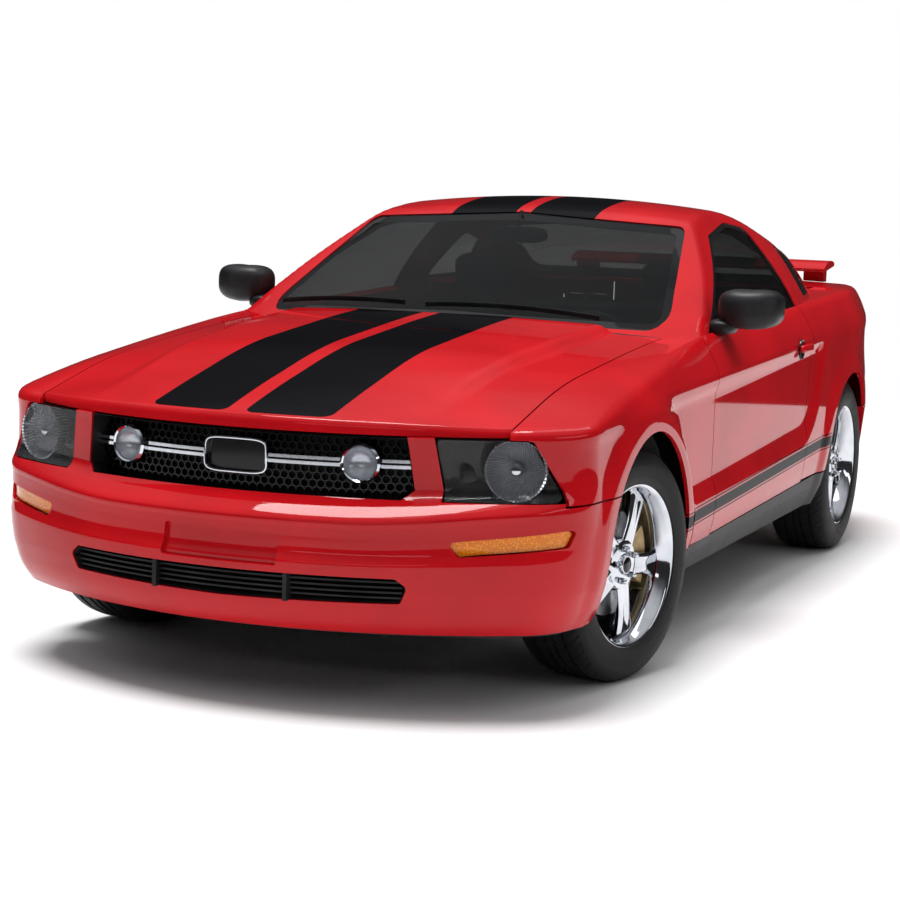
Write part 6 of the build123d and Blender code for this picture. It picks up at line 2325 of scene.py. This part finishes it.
def make_tail_trim():
    """Blank round medallion with its ring, between the tail lamps."""
    centre = (float(tail_x(0.0)) - 0.012, 0.0, MEDALLION_Z)
    disc = turned(MEDALLION, centre, MEDALLION_AXIS, 72)
    add_piece("tail_medallion", disc, "deck_lid", finish(gloss_black))
    ring = turned(MEDALLION_RING, centre, MEDALLION_AXIS, 72, True)
    add_piece("tail_medallion_ring", ring, "deck_lid", finish(chrome))


# ---- studio -------------------------------------------------------------------------
PICTURE_SIDE = 900.0
FOCAL_PIXELS = 2163.3
SENSOR_MM = 36.0
CAMERA_PLACE = Vector((7.4694, 2.7655, 1.4489))
CAMERA_YAW = 3.5337
CAMERA_PITCH = -0.1239
CAMERA_ROLL = 0.0317
CENTRE_PIXEL = (445.2, 450.7)
SUN_DIRECTION = (-0.02, 0.16, -1.0)
SUN_SPREAD = 28.0
# Soft boxes: name, place, target, size, power.
SOFT_BOXES = (
    ("overhead", (0.8, 1.2, 4.2), (0.4, 0.2, 0.6), (6.0, 1.4), 45.0),
    ("left_side", (1.5, 6.5, 2.6), (0.2, 0.6, 0.8), (6.0, 0.6), 34.0),
    ("front", (7.5, 1.0, 2.4), (1.6, 0.2, 0.6), (3.6, 0.5), 12.0),
)
# The air's greys, by height.
AIR = ((0.0, 0.03), (0.30, 0.035), (0.50, 0.14), (0.66, 0.50), (0.85, 0.66), (1.0, 0.70))


def make_camera():
    """Camera at the front left corner, a little above the hood."""
    yaw, pitch, roll = CAMERA_YAW, CAMERA_PITCH, CAMERA_ROLL
    forward = Vector((cos(yaw) * cos(pitch), sin(yaw) * cos(pitch), sin(pitch)))
    level = Vector((sin(yaw), -cos(yaw), 0.0))
    upright = level.cross(forward)
    right = level * cos(roll) + upright * sin(roll)
    up = upright * cos(roll) - level * sin(roll)
    data = bpy.data.cameras.new("camera")
    data.sensor_width = SENSOR_MM
    data.lens = FOCAL_PIXELS / PICTURE_SIDE * SENSOR_MM
    data.shift_x = (PICTURE_SIDE / 2 - CENTRE_PIXEL[0]) / PICTURE_SIDE
    data.shift_y = (CENTRE_PIXEL[1] - PICTURE_SIDE / 2) / PICTURE_SIDE
    data.clip_end = 300.0
    camera = bpy.data.objects.new("camera", data)
    turn = Matrix((right, up, -forward)).transposed().to_4x4()
    camera.matrix_world = Matrix.Translation(CAMERA_PLACE) @ turn
    bpy.context.scene.collection.objects.link(camera)
    bpy.context.scene.camera = camera


def area_light(name, place, target, size, power):
    """Rectangular soft box that faces a target."""
    data = bpy.data.lights.new(name, "AREA")
    data.shape = "RECTANGLE"
    data.size, data.size_y = size
    data.energy = power
    lamp = bpy.data.objects.new(name, data)
    lamp.location = place
    lamp.rotation_mode = "QUATERNION"
    lamp.rotation_quaternion = (Vector(target) - Vector(place)).to_track_quat("-Z", "Y")
    bpy.context.scene.collection.objects.link(lamp)


def sun_light(direction, strength, spread):
    """Even, soft-edged light from one side."""
    data = bpy.data.lights.new("sun", "SUN")
    data.energy = strength
    data.angle = radians(spread)
    lamp = bpy.data.objects.new("sun", data)
    lamp.rotation_mode = "QUATERNION"
    lamp.rotation_quaternion = Vector(direction).to_track_quat("-Z", "Y")
    bpy.context.scene.collection.objects.link(lamp)


def make_world():
    """Studio air: white behind the car, dim round it and brighter overhead."""
    world = bpy.data.worlds.new("studio")
    bpy.context.scene.world = world
    world.use_nodes = True
    nodes, links = world.node_tree.nodes, world.node_tree.links
    nodes.clear()
    place = nodes.new("ShaderNodeTexCoord")
    parts = nodes.new("ShaderNodeSeparateXYZ")
    ramp = nodes.new("ShaderNodeValToRGB")
    light = nodes.new("ShaderNodeBackground")
    backdrop = nodes.new("ShaderNodeBackground")
    path = nodes.new("ShaderNodeLightPath")
    mix = nodes.new("ShaderNodeMixShader")
    output = nodes.new("ShaderNodeOutputWorld")
    while len(ramp.color_ramp.elements) < len(AIR):
        ramp.color_ramp.elements.new(0.5)
    for element, (height, grey) in zip(ramp.color_ramp.elements, AIR):
        element.position = height
        element.color = (grey, grey, grey * 1.03, 1.0)
    backdrop.inputs["Color"].default_value = (1.0, 1.0, 1.0, 1.0)
    links.new(place.outputs["Generated"], parts.inputs[0])
    links.new(parts.outputs[2], ramp.inputs[0])
    links.new(ramp.outputs[0], light.inputs["Color"])
    links.new(path.outputs["Is Camera Ray"], mix.inputs[0])
    links.new(light.outputs[0], mix.inputs[1])
    links.new(backdrop.outputs[0], mix.inputs[2])
    links.new(mix.outputs[0], output.inputs["Surface"])


def make_floor():
    """Plain pale floor."""
    bm = bmesh.new()
    radius = bpy.context.scene.car_stage.floor_radius
    bmesh.ops.create_circle(bm, cap_ends=True, segments=96, radius=radius)
    mesh = bpy.data.meshes.new("floor")
    bm.to_mesh(mesh)
    bm.free()
    floor = bpy.data.objects.new("floor", mesh)
    bpy.context.scene.collection.objects.link(floor)
    graph = Graph("floor_paint")
    colour = graph.tones(graph.noise(0.4), "floor_paint")
    rough = graph.noise(2.0) * 0.1 + 0.75
    mesh.materials.append(graph.surface(Base_Color=colour, Roughness=rough))


def make_stage():
    """Camera, floor, air and soft boxes."""
    scene = bpy.context.scene
    scene.view_settings.view_transform = "Standard"
    make_camera()
    make_world()
    make_floor()
    sun_light(SUN_DIRECTION, scene.car_stage.sun, SUN_SPREAD)
    for box in SOFT_BOXES:
        area_light(*box)


# ---- CAD nodes that show as they are -------------------------------------------------
DRESSED = {
    plain_paint: (
        "left_fender right_fender left_quarter right_quarter left_door right_door "
        "front_bumper rear_bumper sills"
    ),
    striped_paint: "hood deck_lid roof spoiler",
    gloss_black: "left_mirror right_mirror",
    moulded_black: "grille cowl dashboard steering_wheel",
    window_glass: "windscreen rear_window left_door_glass right_door_glass quarter_windows",
    lamp_glass: "front_lamps",
    red_lens: "tail_lamps",
    underbody_coat: "floor_pan fuel_tank",
    chassis_steel: "front_subframe rear_axle driveshaft",
    engine_alloy: "engine",
    exhaust_steel: "exhaust",
    caliper_gold: "left_knuckle right_knuckle",
    chrome: "front_left_wheel front_right_wheel rear_left_wheel rear_right_wheel",
    tyre_rubber: "front_left_tyre front_right_tyre rear_left_tyre rear_right_tyre",
    leather: "front_seats rear_seat",
}


def dress_nodes():
    """Gives each CAD node its finish."""
    for maker, names in DRESSED.items():
        for name in names.split():
            if name in frame["nodes"]:
                slots = frame["nodes"][name].data.materials
                slots.clear()
                slots.append(finish(maker))


# ---- add-on -------------------------------------------------------------------------
CORNERS = ("front_left", "front_right", "rear_left", "rear_right")


class CarBodySettings(bpy.types.PropertyGroup):
    """Sizes and colours of the body."""

    skin_thickness: bpy.props.FloatProperty(
        name="Panel thickness",
        description="Thickness of the outer body panels",
        default=0.012,
        min=0.004,
        max=0.03,
        unit="LENGTH",
    )
    cell: bpy.props.FloatProperty(
        name="Mesh cell",
        description="Size of the smallest faces of the body panels",
        default=0.010,
        min=0.006,
        max=0.03,
        unit="LENGTH",
    )
    red: bpy.props.FloatVectorProperty(
        name="Body colour",
        description="Colour of the body paint",
        default=RED,
        size=4,
        min=0.0,
        max=1.0,
        subtype="COLOR",
    )
    stripe: bpy.props.FloatVectorProperty(
        name="Stripe colour",
        description="Colour of the stripes on the body",
        default=STRIPE_BLACK,
        size=4,
        min=0.0,
        max=1.0,
        subtype="COLOR",
    )


class CarWheelSettings(bpy.types.PropertyGroup):
    """Sizes of the wheels."""

    spokes: bpy.props.IntProperty(
        name="Spokes", description="Number of spokes in each wheel", default=5, min=3, max=12
    )
    lug_nuts: bpy.props.IntProperty(
        name="Lug nuts", description="Number of lug nuts on each wheel", default=5, min=3, max=8
    )


class CarStageSettings(bpy.types.PropertyGroup):
    """Light and floor of the studio."""

    floor_radius: bpy.props.FloatProperty(
        name="Floor radius", description="Radius of the studio floor",
        default=7.5, min=4.0, max=60.0, unit="LENGTH"
    )
    sun: bpy.props.FloatProperty(
        name="Sun strength", description="Strength of the even light from above",
        default=3.1, min=0.0, max=10.0
    )


class CarFenders(bpy.types.Operator):
    """Both front fenders"""

    bl_idname = "car.fenders"
    bl_label = "Fenders"

    def execute(self, context):
        for side, word in SIDES:
            make_fender(side, word + "fender")
        return {"FINISHED"}


class CarDoors(bpy.types.Operator):
    """Both doors, their pulls and their mirrors"""

    bl_idname = "car.doors"
    bl_label = "Doors"

    def execute(self, context):
        for side, word in SIDES:
            make_door(side, word + "door")
            make_mirror(side, word)
            make_handle(side, word)
            make_door_card(side, word)
        return {"FINISHED"}


class CarQuarters(bpy.types.Operator):
    """Both rear quarter panels"""

    bl_idname = "car.quarters"
    bl_label = "Quarter panels"

    def execute(self, context):
        for side, word in SIDES:
            make_quarter(side, word + "quarter")
        return {"FINISHED"}


class CarSills(bpy.types.Operator):
    """Both sills"""

    bl_idname = "car.sills"
    bl_label = "Sills"

    def execute(self, context):
        make_sills()
        return {"FINISHED"}


class CarHood(bpy.types.Operator):
    """Hood with its raised middle"""

    bl_idname = "car.hood"
    bl_label = "Hood"

    def execute(self, context):
        make_hood()
        return {"FINISHED"}


class CarDeckLid(bpy.types.Operator):
    """Deck lid and the trim on its rear face"""

    bl_idname = "car.deck_lid"
    bl_label = "Deck lid"

    def execute(self, context):
        make_deck_lid()
        make_tail_trim()
        return {"FINISHED"}


class CarRoof(bpy.types.Operator):
    """Roof, pillars and window surrounds"""

    bl_idname = "car.roof"
    bl_label = "Roof"

    def execute(self, context):
        make_roof()
        make_window_trims()
        return {"FINISHED"}


class CarFrontBumper(bpy.types.Operator):
    """Front bumper with its plate recess"""

    bl_idname = "car.front_bumper"
    bl_label = "Front bumper"

    def execute(self, context):
        make_front_bumper()
        return {"FINISHED"}


class CarHeadlamps(bpy.types.Operator):
    """Both headlamps"""

    bl_idname = "car.headlamps"
    bl_label = "Headlamps"

    def execute(self, context):
        make_headlamps()
        return {"FINISHED"}


class CarTurnLamps(bpy.types.Operator):
    """Both amber turn lamps"""

    bl_idname = "car.turn_lamps"
    bl_label = "Turn lamps"

    def execute(self, context):
        make_turn_lamps()
        return {"FINISHED"}


class CarGrille(bpy.types.Operator):
    """Honeycomb grille with its frame and round lamps"""

    bl_idname = "car.grille"
    bl_label = "Grille"

    def execute(self, context):
        make_grille()
        return {"FINISHED"}


class CarLowerGrille(bpy.types.Operator):
    """Slats in the bumper and the air dam under it"""

    bl_idname = "car.lower_grille"
    bl_label = "Lower grille"

    def execute(self, context):
        make_lower_grille()
        return {"FINISHED"}


class CarWheels(bpy.types.Operator):
    """Four wheels with tyres and brake discs"""

    bl_idname = "car.wheels"
    bl_label = "Wheels"

    def execute(self, context):
        for corner in CORNERS:
            make_wheel(corner)
        return {"FINISHED"}


class CarArchLiners(bpy.types.Operator):
    """Black liners inside the wheel arches"""

    bl_idname = "car.arch_liners"
    bl_label = "Arch liners"

    def execute(self, context):
        make_arch_liners()
        return {"FINISHED"}


class CarWipers(bpy.types.Operator):
    """Both windscreen wipers"""

    bl_idname = "car.wipers"
    bl_label = "Wipers"

    def execute(self, context):
        make_wipers()
        return {"FINISHED"}


class CarFrontSeats(bpy.types.Operator):
    """Two front seats and the inside mirror"""

    bl_idname = "car.front_seats"
    bl_label = "Front seats"

    def execute(self, context):
        make_front_seats()
        make_inside_mirror()
        return {"FINISHED"}


class CarRearSeat(bpy.types.Operator):
    """Rear bench and the lining round it"""

    bl_idname = "car.rear_seat"
    bl_label = "Rear seat"

    def execute(self, context):
        make_rear_seat()
        make_cabin_lining()
        return {"FINISHED"}


class CarPlainNodes(bpy.types.Operator):
    """Finishes for the frame nodes that show as they are"""

    bl_idname = "car.plain_nodes"
    bl_label = "Frame finishes"

    def execute(self, context):
        dress_nodes()
        return {"FINISHED"}


class CarStage(bpy.types.Operator):
    """Camera, floor, air and lights"""

    bl_idname = "car.stage"
    bl_label = "Stage"

    def execute(self, context):
        make_stage()
        return {"FINISHED"}


OPERATORS = (
    CarFenders,
    CarDoors,
    CarQuarters,
    CarSills,
    CarHood,
    CarDeckLid,
    CarRoof,
    CarFrontBumper,
    CarHeadlamps,
    CarTurnLamps,
    CarGrille,
    CarLowerGrille,
    CarWheels,
    CarArchLiners,
    CarWipers,
    CarFrontSeats,
    CarRearSeat,
    CarPlainNodes,
    CarStage,
)
SETTINGS = (
    ("car_body", CarBodySettings),
    ("car_wheels", CarWheelSettings),
    ("car_stage", CarStageSettings),
)


class CarPanel(bpy.types.Panel):
    """Lists the car's settings and the operators that build it."""

    bl_idname = "CAR_PT_panel"
    bl_label = "Muscle car"
    bl_space_type = "VIEW_3D"
    bl_region_type = "UI"
    bl_category = "Car"

    def draw(self, context):
        layout = self.layout
        for name, group in SETTINGS:
            settings = getattr(context.scene, name)
            for field in group.__annotations__:
                layout.prop(settings, field)
        for operator in OPERATORS:
            layout.operator(operator.bl_idname)


def register():
    for name, group in SETTINGS:
        bpy.utils.register_class(group)
        setattr(bpy.types.Scene, name, bpy.props.PointerProperty(type=group))
    for made in (*OPERATORS, CarPanel):
        bpy.utils.register_class(made)


def unregister():
    for made in reversed((*OPERATORS, CarPanel)):
        bpy.utils.unregister_class(made)
    for name, group in reversed(SETTINGS):
        delattr(bpy.types.Scene, name)
        bpy.utils.unregister_class(group)


def main():
    """Builds every piece in order."""
    register()
    bpy.ops.car.fenders()
    bpy.ops.car.doors()
    bpy.ops.car.quarters()
    bpy.ops.car.sills()
    bpy.ops.car.hood()
    bpy.ops.car.deck_lid()
    bpy.ops.car.roof()
    bpy.ops.car.front_bumper()
    bpy.ops.car.headlamps()
    bpy.ops.car.turn_lamps()
    bpy.ops.car.grille()
    bpy.ops.car.lower_grille()
    bpy.ops.car.wheels()
    bpy.ops.car.arch_liners()
    bpy.ops.car.wipers()
    bpy.ops.car.front_seats()
    bpy.ops.car.rear_seat()
    bpy.ops.car.plain_nodes()
    bpy.ops.car.stage()


if __name__ == "__main__":
    main()
